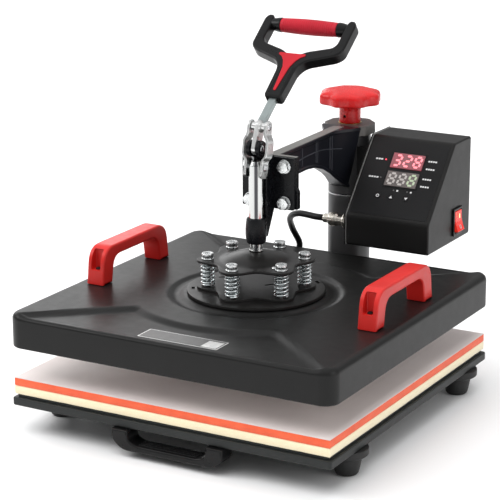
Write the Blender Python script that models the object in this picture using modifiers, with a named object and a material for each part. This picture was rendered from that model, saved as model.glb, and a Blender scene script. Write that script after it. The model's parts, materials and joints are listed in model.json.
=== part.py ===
"""Swing-away flat heat press for transfers, in metres, +Z up.

The operator stands on the -Y side.  A square heated platen hangs from a toggle
clamp on an arm that swings round a post behind the bed.  The origin is the
centre of the footprint on the table.
"""

import math

import bmesh
import bpy
from mathutils import Matrix, Vector

# Heights above the table and the place of the two main axes.
FOOT_HEIGHT = 0.030
BASE_THICK = 0.009
BED_Z = FOOT_HEIGHT + BASE_THICK
AXIS_Y = -0.031
POST_REACH = 0.223
GAP = 0.0003

# Bed.
BASE_HALF = 0.1925
TONGUE_HALF = 0.055
TONGUE_REACH = 0.261
STEP_HALF = 0.1885
STEP_TOP = 0.003
PAD_HALF = 0.190
FELT_TOP = 0.0130
SILICONE_TOP = 0.0213
CLOTH_TOP = 0.0220
FOOT_X = 0.1755
FOOT_FRONT = -0.124
FOOT_REAR = 0.150
CARRY_X = 0.005
CARRY_FRONT = -0.199
CARRY_DEPTH = 0.022

# Platen, heights measured from the top of the base plate.
COVER_HALF = 0.19475
COVER_BOTTOM = 0.0569
COVER_TOP = 0.0950
COVER_WALL = 0.0016
HEATER_HALF = 0.190
HEATER_BOTTOM = 0.0562
HEATER_TOP = 0.0702
PRESS_STROKE = 0.0338
SPRING_TRAVEL = 0.004

# Spring pack between the platen and the press flange.
BOLT_RING = 0.0528
BOLT_COUNT = 6
LOBE_MEAN = 0.0575
LOBE_SWING = 0.0075
DISC_RADIUS = 0.076
DISC_TOP = 0.0993
SEAT_TOP = 0.1025
FLANGE_BOTTOM = 0.1296
FLANGE_TOP = 0.1326
DOME_TOP = 0.1415
DOME_RADIUS = 0.037
SPRING_RADIUS = 0.0069
SPRING_WIRE = 0.0011
SPRING_TURNS = 5

# Post, hub and pressure knob.
POST_RADIUS = 0.0247
POST_FOOT = 0.0322
SPIGOT_RADIUS = 0.0165
POST_SHOULDER = 0.158
SPIGOT_TOP = 0.2335
HUB_BOTTOM = 0.160
HUB_CEILING = 0.2350
HUB_TOP = 0.2420
HUB_FLANGE = 0.0303
HUB_FLANGE_BOTTOM = 0.2300
SCREW_RADIUS = 0.0080
KNOB_RADIUS = 0.0350
KNOB_LOBE = 0.0019
KNOB_LOBES = 8
KNOB_BOTTOM = 0.2650
KNOB_TOP = 0.2795
KNOB_HUB_RADIUS = 0.0125
KNOB_HUB_BOTTOM = 0.2424
LIFT_TRAVEL = 0.004

# Swing arm and toggle clamp.
ARM_HALF = 0.007
HEAD_PLATE_FRONT = 0.0260
HEAD_PLATE_BACK = 0.0310
ARM_PAD_BACK = 0.0385
HEAD_HALF_WIDTH = 0.032
HEAD_BOTTOM = 0.1840
HEAD_TOP = 0.2420
HEAD_BOLT_X = 0.021
HEAD_BOLT_LOW = 0.1915
HEAD_BOLT_HIGH = 0.2325
SPINE_HALF = 0.008
SLOT_HALF = 0.0033
SLEEVE_BOTTOM = 0.150
SLEEVE_TOP = 0.1787
SLEEVE_RADIUS = 0.01035
ROD_RADIUS = 0.0079
ROD_TOP = 0.2425
LEVER_PIVOT_Z = 0.2555
LINK_PIVOT_Z = 0.2350
CRANK_LENGTH = 0.024
CRANK_LEAN = math.radians(21.0)
LEVER_LEAN = math.radians(52.0)

# Lever handle, measured along the lever from its crank pin.
STEM_START = 0.038
GRIP_DISTANCE = 0.146
HANDLE_HALF = 0.057
HANDLE_DEPTH = 0.014
GRIP_RADIUS = 0.009
GRIP_CORE = 0.006

# Control box, on the +X side of the hub.
BOX_LEFT = 0.0350
BOX_RIGHT = 0.1400
BOX_FRONT = 0.1415
BOX_BACK = 0.2560
BOX_BOTTOM = 0.1185
PANEL_FOOT = 0.1540
BOX_TOP = 0.2340
PANEL_HEAD_Y = 0.2110
BOX_WALL = 0.0022


def bed(x, y, z):
    """A world point from x, y about the pressing axis and z above the base plate."""
    return Vector((x, AXIS_Y + y, BED_Z + z))


def clear_scene():
    for obj in list(bpy.data.objects):
        bpy.data.objects.remove(obj, do_unlink=True)


def new_collection(name):
    collection = bpy.data.collections.new(name)
    bpy.context.scene.collection.children.link(collection)
    return collection


def material(name, color, roughness, metallic=0.0):
    mat = bpy.data.materials.new(name)
    mat.use_nodes = True
    shader = mat.node_tree.nodes["Principled BSDF"]
    shader.inputs["Base Color"].default_value = (*color, 1.0)
    shader.inputs["Roughness"].default_value = roughness
    shader.inputs["Metallic"].default_value = metallic
    mat.diffuse_color = (*color, 1.0)
    return mat


clear_scene()
PARTS = new_collection("heat_press")
CUTTERS = new_collection("cutters")

BLACK_PAINT = material("black_paint", (0.025, 0.025, 0.028), 0.55)
BLACK_PLASTIC = material("black_plastic", (0.015, 0.015, 0.016), 0.40)
RED_PLASTIC = material("red_plastic", (0.75, 0.02, 0.03), 0.35)
RED_RUBBER = material("red_rubber", (0.60, 0.02, 0.04), 0.60)
ORANGE_SILICONE = material("orange_silicone", (0.95, 0.16, 0.06), 0.50)
CREAM_FELT = material("cream_felt", (0.90, 0.80, 0.55), 0.90)
PALE_CLOTH = material("pale_cloth", (0.75, 0.68, 0.66), 0.60)
RUBBER = material("rubber", (0.012, 0.012, 0.012), 0.80)
ZINC = material("zinc", (0.78, 0.79, 0.80), 0.28, 1.0)
CHROME = material("chrome", (0.85, 0.86, 0.88), 0.12, 1.0)
STEEL = material("steel", (0.60, 0.61, 0.62), 0.35, 1.0)
ALUMINIUM = material("aluminium", (0.70, 0.71, 0.72), 0.40, 1.0)
BOARD_GREEN = material("board_green", (0.02, 0.16, 0.06), 0.50)
SMOKED_WINDOW = material("smoked_window", (0.03, 0.01, 0.01), 0.15)


def link_part(obj, mat):
    """Puts a finished piece in the parts collection, with its material."""
    obj.data.materials.clear()
    obj.data.materials.append(mat)
    PARTS.objects.link(obj)
    return obj


def link_cutter(obj):
    """Puts a helper shape for a Boolean in the cutters collection."""
    obj.display_type = "WIRE"
    obj.hide_render = True
    CUTTERS.objects.link(obj)
    return obj


def join_shape(obj, other, operation):
    """Cuts or joins another shape with a Boolean modifier."""
    if other.name not in CUTTERS.objects:
        link_cutter(other)
    modifier = obj.modifiers.new(operation.lower(), "BOOLEAN")
    modifier.operation = operation
    modifier.object = other
    modifier.solver = "EXACT"
    return modifier


def smooth(obj, angle=35.0):
    """Smooth shading with edges sharper than the angle kept crisp."""
    obj.data.shade_smooth()
    obj.data.set_sharp_from_angle(angle=math.radians(angle))


def cube_mesh(name, size):
    mesh = bpy.data.meshes.new(name)
    bm = bmesh.new()
    bmesh.ops.create_cube(bm, size=1.0)
    bmesh.ops.scale(bm, vec=Vector(size), verts=bm.verts)
    bm.to_mesh(mesh)
    bm.free()
    return mesh


def box(name, low, high):
    """A plain box between two corners given about the pressing axis."""
    low = Vector(low)
    high = Vector(high)
    obj = bpy.data.objects.new(name, cube_mesh(name, high - low))
    obj.location = bed(*((low + high) / 2))
    return obj


def rounded_slab(name, half, bottom, top, corner):
    """A square slab on the pressing axis with rounded vertical edges."""
    mesh = bpy.data.meshes.new(name)
    bm = bmesh.new()
    bmesh.ops.create_cube(bm, size=1.0)
    bmesh.ops.scale(bm, vec=Vector((2 * half, 2 * half, top - bottom)), verts=bm.verts)
    bevel_vertical_edges(bm, corner)
    bm.to_mesh(mesh)
    bm.free()
    obj = bpy.data.objects.new(name, mesh)
    obj.location = bed(0.0, 0.0, (bottom + top) / 2)
    return obj


def bevel_vertical_edges(bm, radius, segments=4):
    upright = []
    for edge in bm.edges:
        a, b = edge.verts
        if abs(a.co.z - b.co.z) > 1e-6 and abs(a.co.x - b.co.x) < 1e-6:
            upright.append(edge)
    bmesh.ops.bevel(
        bm, geom=upright, offset=radius, segments=segments, profile=0.5, affect="EDGES"
    )


def turned(name, profile, location, steps=24, closed=False, rotation=(0.0, 0.0, 0.0)):
    """A solid of revolution about local Z from (radius, height) points.

    The points run down the outer side, from top to bottom.
    """
    count = len(profile)
    edges = [(i, i + 1) for i in range(count - 1)]
    if closed:
        edges.append((count - 1, 0))
    mesh = bpy.data.meshes.new(name)
    mesh.from_pydata([(r, 0.0, z) for r, z in profile], edges, [])
    obj = bpy.data.objects.new(name, mesh)
    obj.location = location
    obj.rotation_euler = rotation
    screw = obj.modifiers.new("turn", "SCREW")
    screw.axis = "Z"
    screw.angle = math.tau
    screw.steps = steps
    screw.render_steps = steps
    screw.use_merge_vertices = True
    screw.merge_threshold = 0.00001
    screw.use_smooth_shade = True
    return obj


def rod(name, radius, start, end, steps=16):
    """A plain cylinder between two world points."""
    start = Vector(start)
    end = Vector(end)
    mesh = bpy.data.meshes.new(name)
    bm = bmesh.new()
    bmesh.ops.create_cone(
        bm,
        cap_ends=True,
        segments=steps,
        radius1=radius,
        radius2=radius,
        depth=(end - start).length,
    )
    bm.to_mesh(mesh)
    bm.free()
    obj = bpy.data.objects.new(name, mesh)
    obj.location = (start + end) / 2
    obj.rotation_euler = (end - start).to_track_quat("Z", "Y").to_euler()
    smooth(obj)
    return obj


FLAT = (0.0, 0.0, 0.0)
SIDE = (math.radians(90.0), 0.0, math.radians(90.0))
FRONT = (math.radians(90.0), 0.0, 0.0)


def plate(name, outlines, thickness, location, rotation=FLAT, welded=False):
    """A flat piece from closed outlines, the first outside and the rest holes.

    FLAT reads points as x, y.  SIDE reads them as y, z and is thick along X.
    FRONT reads them as x, z and is thick along Y.
    """
    curve = bpy.data.curves.new(name, "CURVE")
    curve.dimensions = "2D"
    curve.fill_mode = "BOTH"
    curve.extrude = thickness / 2
    for outline in outlines:
        spline = curve.splines.new("POLY")
        spline.points.add(len(outline) - 1)
        for point, (u, v) in zip(spline.points, outline):
            point.co = (u, v, 0.0, 1.0)
        spline.use_cyclic_u = True
    obj = bpy.data.objects.new(name, curve)
    obj.location = location
    obj.rotation_euler = rotation
    if welded:
        return solid_from_curve(obj, name)
    return obj


def solid_from_curve(curve_obj, name):
    """The curve's surface as one welded mesh, so that it can be cut or joined."""
    bpy.context.scene.collection.objects.link(curve_obj)
    bpy.context.view_layer.update()
    graph = bpy.context.evaluated_depsgraph_get()
    mesh = bpy.data.meshes.new_from_object(curve_obj.evaluated_get(graph))
    world = curve_obj.matrix_world.copy()
    bpy.data.objects.remove(curve_obj, do_unlink=True)
    bm = bmesh.new()
    bm.from_mesh(mesh)
    bmesh.ops.remove_doubles(bm, verts=bm.verts, dist=0.000001)
    bm.to_mesh(mesh)
    bm.free()
    obj = bpy.data.objects.new(name, mesh)
    obj.matrix_world = world
    return obj


def circle(u, v, radius, steps=16, start=0.0):
    points = []
    for i in range(steps):
        angle = start + math.tau * i / steps
        points.append((u + radius * math.cos(angle), v + radius * math.sin(angle)))
    return points


def arc(u, v, radius, first, last, steps):
    """Points on an arc, both ends included, with its angles in degrees."""
    points = []
    for i in range(steps + 1):
        angle = math.radians(first + (last - first) * i / steps)
        points.append((u + radius * math.cos(angle), v + radius * math.sin(angle)))
    return points


def bolt_angles():
    return [math.radians(30.0 + 60.0 * i) for i in range(BOLT_COUNT)]


def lobed_outline(steps=48):
    """A plate edge that swells round each spring bolt."""
    points = []
    for i in range(steps):
        angle = math.tau * i / steps
        radius = LOBE_MEAN + LOBE_SWING * math.cos(6.0 * (angle - math.radians(30.0)))
        points.append((radius * math.cos(angle), radius * math.sin(angle)))
    return points


def ring_holes(radius):
    holes = []
    for angle in bolt_angles():
        u = BOLT_RING * math.cos(angle)
        v = BOLT_RING * math.sin(angle)
        holes.append(circle(u, v, radius, 12))
    return holes


# ---------------------------------------------------------------- bed


def make_base_plate():
    outline = [
        (-BASE_HALF, -BASE_HALF),
        (BASE_HALF, -BASE_HALF),
        (BASE_HALF, BASE_HALF),
        (TONGUE_HALF, BASE_HALF),
        (TONGUE_HALF, TONGUE_REACH),
        (-TONGUE_HALF, TONGUE_REACH),
        (-TONGUE_HALF, BASE_HALF),
        (-BASE_HALF, BASE_HALF),
    ]
    middle = bed(0.0, 0.0, -BASE_THICK / 2)
    base = plate("base_plate", [outline], BASE_THICK, middle, welded=True)
    low = (-STEP_HALF, -STEP_HALF, -0.001)
    high = (STEP_HALF, STEP_HALF, STEP_TOP)
    join_shape(base, box("base_step", low, high), "UNION")
    link_part(base, BLACK_PAINT)


def make_pads():
    layers = [
        ("felt_pad", STEP_TOP + GAP, FELT_TOP, CREAM_FELT),
        ("silicone_pad", FELT_TOP + GAP, SILICONE_TOP, ORANGE_SILICONE),
        ("pad_cloth", SILICONE_TOP + GAP, CLOTH_TOP, PALE_CLOTH),
    ]
    for name, bottom, top, mat in layers:
        link_part(rounded_slab(name, PAD_HALF, bottom, top, 0.003), mat)


def make_feet():
    top = FOOT_HEIGHT - GAP
    profile = [
        (0.0, top),
        (0.0225, top),
        (0.0225, 0.0225),
        (0.0200, 0.0200),
        (0.0155, 0.0190),
        (0.0120, 0.0020),
        (0.0100, 0.0),
        (0.0, 0.0),
    ]
    places = {
        "foot_front_left": (-FOOT_X, FOOT_FRONT),
        "foot_front_right": (FOOT_X, FOOT_FRONT),
        "foot_rear_left": (-FOOT_X, FOOT_REAR),
        "foot_rear_right": (FOOT_X, FOOT_REAR),
    }
    for name, (x, y) in places.items():
        link_part(turned(name, profile, (x, AXIS_Y + y, 0.0), 20), RUBBER)


def make_carry_handle():
    top = FOOT_HEIGHT - GAP
    outer_top = 0.067
    outer_low = 0.055
    inner_top = 0.047
    inner_low = 0.036
    bottom = 0.0075
    bar_top = 0.0190
    outline = [
        (-outer_top, top),
        (-outer_top, top - 0.010),
        (-outer_low, bottom),
        (outer_low, bottom),
        (outer_top, top - 0.010),
        (outer_top, top),
        (inner_top, top),
        (inner_top, bar_top + 0.006),
        (inner_low, bar_top),
        (-inner_low, bar_top),
        (-inner_top, bar_top + 0.006),
        (-inner_top, top),
    ]
    y = AXIS_Y + CARRY_FRONT + CARRY_DEPTH / 2
    handle = plate("carry_handle", [outline], CARRY_DEPTH, (CARRY_X, y, 0.0), FRONT)
    link_part(handle, BLACK_PLASTIC)


def make_post():
    profile = [
        (0.0, 0.175),
        (SCREW_RADIUS + 0.0005, 0.175),
        (SCREW_RADIUS + 0.0005, SPIGOT_TOP),
        (SPIGOT_RADIUS, SPIGOT_TOP),
        (SPIGOT_RADIUS, POST_SHOULDER),
        (POST_RADIUS, POST_SHOULDER),
        (POST_RADIUS, 0.010),
        (POST_FOOT, 0.008),
        (POST_FOOT, GAP),
        (0.0, GAP),
    ]
    link_part(turned("post", profile, bed(0.0, POST_REACH, 0.0), 32), BLACK_PAINT)


# ---------------------------------------------------------------- platen


def make_cover():
    height = COVER_TOP - COVER_BOTTOM
    mesh = bpy.data.meshes.new("platen_cover")
    bm = bmesh.new()
    bmesh.ops.create_cube(bm, size=1.0)
    size = Vector((2 * COVER_HALF, 2 * COVER_HALF, height))
    bmesh.ops.scale(bm, vec=size, verts=bm.verts)
    bevel_vertical_edges(bm, 0.014)
    floor = [f for f in bm.faces if f.normal.z < -0.9]
    bmesh.ops.delete(bm, geom=floor, context="FACES_ONLY")
    rim = [
        e
        for e in bm.edges
        if min(v.co.z for v in e.verts) > height / 2 - 1e-6
    ]
    bmesh.ops.bevel(bm, geom=rim, offset=0.006, segments=2, profile=0.5, affect="EDGES")
    bm.to_mesh(mesh)
    bm.free()
    cover = bpy.data.objects.new("platen_cover", mesh)
    cover.location = bed(0.0, 0.0, (COVER_BOTTOM + COVER_TOP) / 2)
    wall = cover.modifiers.new("wall", "SOLIDIFY")
    wall.thickness = COVER_WALL
    wall.offset = -1.0
    smooth(cover)
    link_part(cover, BLACK_PAINT)


def make_heater():
    heater = rounded_slab("heater_plate", HEATER_HALF, HEATER_BOTTOM, HEATER_TOP, 0.010)
    link_part(heater, ALUMINIUM)


def make_platen_handle(name, x):
    """An arched bar grip along Y with a foot at each end."""
    half = 0.069
    foot = 0.020
    height = 0.042
    base = COVER_TOP + GAP
    inner = half - foot
    outline = [
        (-half, base),
        (-inner, base),
        (-inner + 0.008, base + height - 0.015),
        (inner - 0.008, base + height - 0.015),
        (inner, base),
        (half, base),
        (half - 0.006, base + height - 0.010),
        (half - 0.016, base + height),
        (-half + 0.016, base + height),
        (-half + 0.006, base + height - 0.010),
    ]
    link_part(plate(name, [outline], 0.022, bed(x, 0.0025, 0.0), SIDE), RED_PLASTIC)


def make_spring_seat():
    """The round disc on the cover with the lobed spring seat on it."""
    middle = (DISC_TOP - 0.0003 + SEAT_TOP) / 2
    thick = SEAT_TOP - DISC_TOP + 0.0003
    outlines = [lobed_outline()] + ring_holes(0.0036)
    seat = plate("spring_seat", outlines, thick, bed(0.0, 0.0, middle), welded=True)
    low = bed(0.0, 0.0, COVER_TOP + GAP)
    high = bed(0.0, 0.0, DISC_TOP)
    join_shape(seat, rod("seat_disc", DISC_RADIUS, low, high, 48), "UNION")
    link_part(seat, BLACK_PAINT)


def make_press_flange():
    """The lobed plate that pushes on the springs, domed in the middle."""
    middle = (FLANGE_BOTTOM + FLANGE_TOP) / 2
    outlines = [lobed_outline(), circle(0.0, 0.0, 0.0352, 32)] + ring_holes(0.0038)
    thick = FLANGE_TOP - FLANGE_BOTTOM
    flange = plate("press_flange", outlines, thick, bed(0.0, 0.0, middle), welded=True)
    dome = [
        (0.0, DOME_TOP),
        (0.010, DOME_TOP),
        (0.026, DOME_TOP - 0.004),
        (DOME_RADIUS, FLANGE_TOP - 0.0004),
        (DOME_RADIUS, FLANGE_BOTTOM + 0.0004),
        (0.0345, FLANGE_BOTTOM + 0.0004),
        (0.024, DOME_TOP - 0.0075),
        (0.009, DOME_TOP - 0.0032),
        (0.0, DOME_TOP - 0.0032),
    ]
    join_shape(flange, turned("dome", dome, bed(0.0, 0.0, 0.0), 32), "UNION")
    link_part(flange, BLACK_PAINT)


def bolt_mesh(shank):
    """A hexagon bolt with its washer: shank along -Z, seat at Z = 0."""
    washer = turned(
        "bolt_washer",
        [(0.0, 0.0012), (0.0078, 0.0012), (0.0078, 0.0), (0.0, 0.0)],
        (0.0, 0.0, 0.0),
        16,
    )
    head = rod("bolt_head", 0.0073, (0.0, 0.0, 0.0006), (0.0, 0.0, 0.0071), 6)
    stem = rod("bolt_stem", 0.0031, (0.0, 0.0, -shank), (0.0, 0.0, 0.0006), 10)
    for piece in (head, stem):
        join_shape(washer, piece, "UNION")
    bpy.context.scene.collection.objects.link(washer)
    bpy.context.view_layer.update()
    graph = bpy.context.evaluated_depsgraph_get()
    mesh = bpy.data.meshes.new_from_object(washer.evaluated_get(graph))
    for piece in (washer, head, stem):
        bpy.data.objects.remove(piece, do_unlink=True)
    return mesh


def make_spring_bolts():
    mesh = bolt_mesh(FLANGE_TOP + GAP - DISC_TOP - 0.0003)
    for number, angle in enumerate(bolt_angles(), start=1):
        bolt = bpy.data.objects.new(f"spring_bolt_{number}", mesh.copy())
        x = BOLT_RING * math.cos(angle)
        y = BOLT_RING * math.sin(angle)
        bolt.location = bed(x, y, FLANGE_TOP + GAP)
        link_part(bolt, ZINC)


def make_springs():
    low = SEAT_TOP + GAP + SPRING_WIRE
    high = FLANGE_BOTTOM - GAP - SPRING_WIRE
    per_turn = 8
    count = SPRING_TURNS * per_turn + 1
    for number, angle in enumerate(bolt_angles(), start=1):
        curve = bpy.data.curves.new(f"spring_{number}", "CURVE")
        curve.dimensions = "3D"
        curve.bevel_depth = SPRING_WIRE
        curve.bevel_resolution = 2
        curve.use_fill_caps = True
        spline = curve.splines.new("POLY")
        spline.points.add(count - 1)
        for i, point in enumerate(spline.points):
            turn = math.tau * i / per_turn
            height = low + (high - low) * i / (count - 1)
            x = SPRING_RADIUS * math.cos(turn)
            y = SPRING_RADIUS * math.sin(turn)
            point.co = (x, y, height, 1.0)
        spring = bpy.data.objects.new(f"spring_{number}", curve)
        x = BOLT_RING * math.cos(angle)
        y = BOLT_RING * math.sin(angle)
        spring.location = bed(x, y, 0.0)
        link_part(spring, ZINC)


GLAND_X = -0.056
GLAND_Y = 0.2030
GLAND_TOP = 0.084


def make_cable_gland():
    low = (GLAND_X - 0.008, COVER_HALF + GAP, 0.068)
    high = (GLAND_X + 0.008, GLAND_Y + 0.007, GLAND_TOP)
    link_part(box("cable_gland", low, high), BLACK_PLASTIC)


# ---------------------------------------------------------------- plunger


def make_press_rod():
    profile = [
        (0.0, ROD_TOP),
        (0.0050, ROD_TOP - 0.0008),
        (ROD_RADIUS, ROD_TOP - 0.0050),
        (ROD_RADIUS, SLEEVE_BOTTOM),
        (0.0073, SLEEVE_BOTTOM - GAP),
        (0.0073, DOME_TOP + GAP),
        (0.0, DOME_TOP + GAP),
    ]
    press_rod = turned("press_rod", profile, bed(0.0, 0.0, 0.0), 24)
    hole = rod(
        "rod_eye",
        0.0038,
        bed(-0.012, 0.0, LINK_PIVOT_Z),
        bed(0.012, 0.0, LINK_PIVOT_Z),
        12,
    )
    join_shape(press_rod, hole, "DIFFERENCE")
    link_part(press_rod, CHROME)


# ---------------------------------------------------------------- arm


def head_outline():
    return [
        (-HEAD_HALF_WIDTH, HEAD_BOTTOM),
        (HEAD_HALF_WIDTH, HEAD_BOTTOM),
        (HEAD_HALF_WIDTH, HEAD_TOP),
        (-HEAD_HALF_WIDTH, HEAD_TOP),
    ]


def head_holes(radius):
    holes = []
    for x in (-HEAD_BOLT_X, HEAD_BOLT_X):
        for z in (HEAD_BOLT_LOW, HEAD_BOLT_HIGH):
            holes.append(circle(x, z, radius, 12))
    return holes


def make_swing_arm():
    """Cast arm: bolting pad in front, deep web, and a hub that turns on the post."""
    web = [
        (0.036, 0.2100),
        (0.100, 0.2100),
        (0.125, 0.2080),
        (0.148, 0.2010),
        (0.168, 0.1900),
        (0.184, 0.1790),
        (0.210, 0.1660),
        (0.210, HUB_TOP),
        (0.176, 0.2425),
        (0.110, 0.2420),
        (0.036, 0.2410),
    ]
    arm = plate("swing_arm", [web], 2 * ARM_HALF, bed(0.0, 0.0, 0.0), SIDE, True)
    pad_thick = ARM_PAD_BACK - HEAD_PLATE_BACK - GAP
    pad_middle = bed(0.0, (ARM_PAD_BACK + HEAD_PLATE_BACK + GAP) / 2, 0.0)
    outlines = [head_outline()] + head_holes(0.0036)
    pad = plate("arm_pad", outlines, pad_thick, pad_middle, FRONT, True)
    join_shape(arm, pad, "UNION")
    hub = [
        (0.0, HUB_TOP),
        (HUB_FLANGE, HUB_TOP),
        (HUB_FLANGE, HUB_FLANGE_BOTTOM),
        (POST_RADIUS, HUB_FLANGE_BOTTOM - 0.004),
        (POST_RADIUS, HUB_BOTTOM),
        (0.0, HUB_BOTTOM),
    ]
    axis = bed(0.0, POST_REACH, 0.0)
    join_shape(arm, turned("arm_hub", hub, axis, 32), "UNION")
    bore = [
        (0.0, HUB_TOP + 0.01),
        (SCREW_RADIUS + 0.0005, HUB_TOP + 0.01),
        (SCREW_RADIUS + 0.0005, HUB_CEILING),
        (SPIGOT_RADIUS + 0.0004, HUB_CEILING),
        (SPIGOT_RADIUS + 0.0004, HUB_BOTTOM - 0.01),
        (0.0, HUB_BOTTOM - 0.01),
    ]
    join_shape(arm, turned("hub_bore", bore, axis, 32), "DIFFERENCE")
    link_part(arm, BLACK_PAINT)


def make_toggle_base():
    """Cast bracket: flange, spine, clevis ears for the lever and the rod's guide."""
    spine = [
        (0.0270, 0.1900),
        (0.0270, 0.2420),
        (0.0180, 0.2520),
        *arc(0.0, LEVER_PIVOT_Z, 0.009, 60.0, 270.0, 10),
        (0.0090, LEVER_PIVOT_Z - 0.0120),
        (0.0090, SLEEVE_BOTTOM + 0.004),
        (0.0135, SLEEVE_BOTTOM + 0.004),
    ]
    spine.reverse()
    bracket = plate(
        "toggle_base", [spine], 2 * SPINE_HALF, bed(0.0, 0.0, 0.0), SIDE, True
    )
    outlines = [head_outline()] + head_holes(0.0036)
    thick = HEAD_PLATE_BACK - HEAD_PLATE_FRONT
    middle = bed(0.0, (HEAD_PLATE_FRONT + HEAD_PLATE_BACK) / 2, 0.0)
    join_shape(bracket, plate("toggle_flange", outlines, thick, middle, FRONT, True), "UNION")
    sleeve = [
        (0.0, SLEEVE_TOP),
        (SLEEVE_RADIUS, SLEEVE_TOP),
        (SLEEVE_RADIUS, SLEEVE_BOTTOM + 0.008),
        (SLEEVE_RADIUS - 0.0008, SLEEVE_BOTTOM + GAP),
        (0.0, SLEEVE_BOTTOM + GAP),
    ]
    centre = bed(0.0, 0.0, 0.0)
    join_shape(bracket, turned("guide_sleeve", sleeve, centre, 24), "UNION")
    low = bed(0.0, 0.0, SLEEVE_BOTTOM - 0.01)
    high = bed(0.0, 0.0, SLEEVE_TOP + 0.01)
    join_shape(bracket, rod("guide_bore", ROD_RADIUS + 0.0003, low, high, 24), "DIFFERENCE")
    slot = box(
        "lever_slot",
        (-SLOT_HALF, -0.012, LEVER_PIVOT_Z - 0.0105),
        (SLOT_HALF, 0.0150, LEVER_PIVOT_Z + 0.012),
    )
    join_shape(bracket, slot, "DIFFERENCE")
    left = bed(-0.012, 0.0, LEVER_PIVOT_Z)
    right = bed(0.012, 0.0, LEVER_PIVOT_Z)
    join_shape(bracket, rod("ear_bore", 0.0043, left, right, 12), "DIFFERENCE")
    link_part(bracket, BLACK_PAINT)


def make_toggle_bolts():
    mesh = bolt_mesh(ARM_PAD_BACK - HEAD_PLATE_FRONT + GAP + 0.004)
    number = 0
    for z in (HEAD_BOLT_LOW, HEAD_BOLT_HIGH):
        for x in (-HEAD_BOLT_X, HEAD_BOLT_X):
            number += 1
            bolt = bpy.data.objects.new(f"toggle_bolt_{number}", mesh.copy())
            bolt.location = bed(x, HEAD_PLATE_FRONT - GAP, z)
            bolt.rotation_euler = FRONT
            link_part(bolt, ZINC)


def make_lever_pin():
    left = bed(-0.0083, 0.0, LEVER_PIVOT_Z)
    right = bed(0.0083, 0.0, LEVER_PIVOT_Z)
    link_part(rod("lever_pin", 0.0040, left, right, 12), STEEL)


def make_thrust_ring():
    profile = [
        (SPIGOT_RADIUS + 0.0005, HUB_BOTTOM - GAP),
        (POST_RADIUS, HUB_BOTTOM - GAP),
        (POST_RADIUS, POST_SHOULDER + GAP),
        (SPIGOT_RADIUS + 0.0005, POST_SHOULDER + GAP),
    ]
    ring = turned("thrust_ring", profile, bed(0.0, POST_REACH, 0.0), 32, closed=True)
    link_part(ring, STEEL)


# ---------------------------------------------------------------- knob


def make_knob():
    steps = 64
    rim = []
    for i in range(steps):
        angle = math.tau * i / steps
        radius = KNOB_RADIUS + KNOB_LOBE * math.cos(KNOB_LOBES * angle)
        rim.append((radius * math.cos(angle), radius * math.sin(angle)))
    middle = bed(0.0, POST_REACH, (KNOB_BOTTOM + KNOB_TOP) / 2)
    knob = plate("pressure_knob", [rim], KNOB_TOP - KNOB_BOTTOM, middle, FLAT, True)
    axis = bed(0.0, POST_REACH, 0.0)
    core = [
        (0.0, KNOB_TOP + 0.0035),
        (0.014, KNOB_TOP + 0.0028),
        (0.024, KNOB_TOP - 0.001),
        (0.024, KNOB_BOTTOM + 0.001),
        (KNOB_HUB_RADIUS, KNOB_BOTTOM - 0.002),
        (KNOB_HUB_RADIUS, KNOB_HUB_BOTTOM),
        (0.0, KNOB_HUB_BOTTOM),
    ]
    join_shape(knob, turned("knob_core", core, axis, 24), "UNION")
    low = bed(0.0, POST_REACH, KNOB_HUB_BOTTOM - 0.01)
    high = bed(0.0, POST_REACH, KNOB_BOTTOM - 0.003)
    join_shape(knob, rod("knob_bore", SCREW_RADIUS + 0.0003, low, high, 16), "DIFFERENCE")
    link_part(knob, RED_PLASTIC)


def make_lift_screw():
    """Screw threaded into the post, with the collar that carries the hub."""
    profile = [
        (0.0, KNOB_BOTTOM - 0.0035),
        (SCREW_RADIUS, KNOB_BOTTOM - 0.0035),
        (SCREW_RADIUS, HUB_CEILING - GAP),
        (0.0130, HUB_CEILING - GAP),
        (0.0130, SPIGOT_TOP + GAP),
        (SCREW_RADIUS, SPIGOT_TOP + GAP),
        (SCREW_RADIUS, 0.182),
        (0.0, 0.182),
    ]
    link_part(turned("lift_screw", profile, bed(0.0, POST_REACH, 0.0), 24), STEEL)


# ---------------------------------------------------------------- lever


def lever_frame():
    """World matrix of the lever: origin on its crank pin, +Y along the lever,
    +X to the right and +Z out of the face that looks at the operator."""
    along = Vector((0.0, math.sin(LEVER_LEAN), math.cos(LEVER_LEAN)))
    right = Vector((1.0, 0.0, 0.0))
    out = right.cross(along)
    matrix = Matrix((right, along, out)).transposed().to_4x4()
    matrix.translation = crank_pin()
    return matrix


def crank_pin():
    y = CRANK_LENGTH * math.sin(CRANK_LEAN)
    z = LEVER_PIVOT_Z + CRANK_LENGTH * math.cos(CRANK_LEAN)
    return bed(0.0, y, z)


def make_lever_bar():
    """Flat steel lever: eye on the fixed pin, crank pin boss and shank."""
    y = CRANK_LENGTH * math.sin(CRANK_LEAN)
    z = CRANK_LENGTH * math.cos(CRANK_LEAN)
    lean = math.degrees(CRANK_LEAN)
    outline = [
        *arc(0.0, 0.0, 0.007, 180.0 - lean, 360.0 - lean, 8),
        *arc(y, z, 0.007, -lean, 180.0 - lean, 8),
    ]
    outlines = [outline, circle(0.0, 0.0, 0.0043, 12)]
    origin = bed(0.0, 0.0, LEVER_PIVOT_Z)
    lever = plate("lever_bar", outlines, 0.005, origin, SIDE, True)
    pin = crank_pin()
    across = Vector((0.0085, 0.0, 0.0))
    join_shape(lever, rod("crank_boss", 0.0068, pin - across, pin + across, 16), "UNION")
    mesh = cube_mesh("shank", (0.009, STEM_START + 0.022, 0.0062))
    shank = bpy.data.objects.new("shank", mesh)
    middle = Matrix.Translation((0.0, (STEM_START + 0.022) / 2, 0.0))
    shank.matrix_world = lever_frame() @ middle
    join_shape(lever, shank, "UNION")
    link_part(lever, STEEL)


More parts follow.
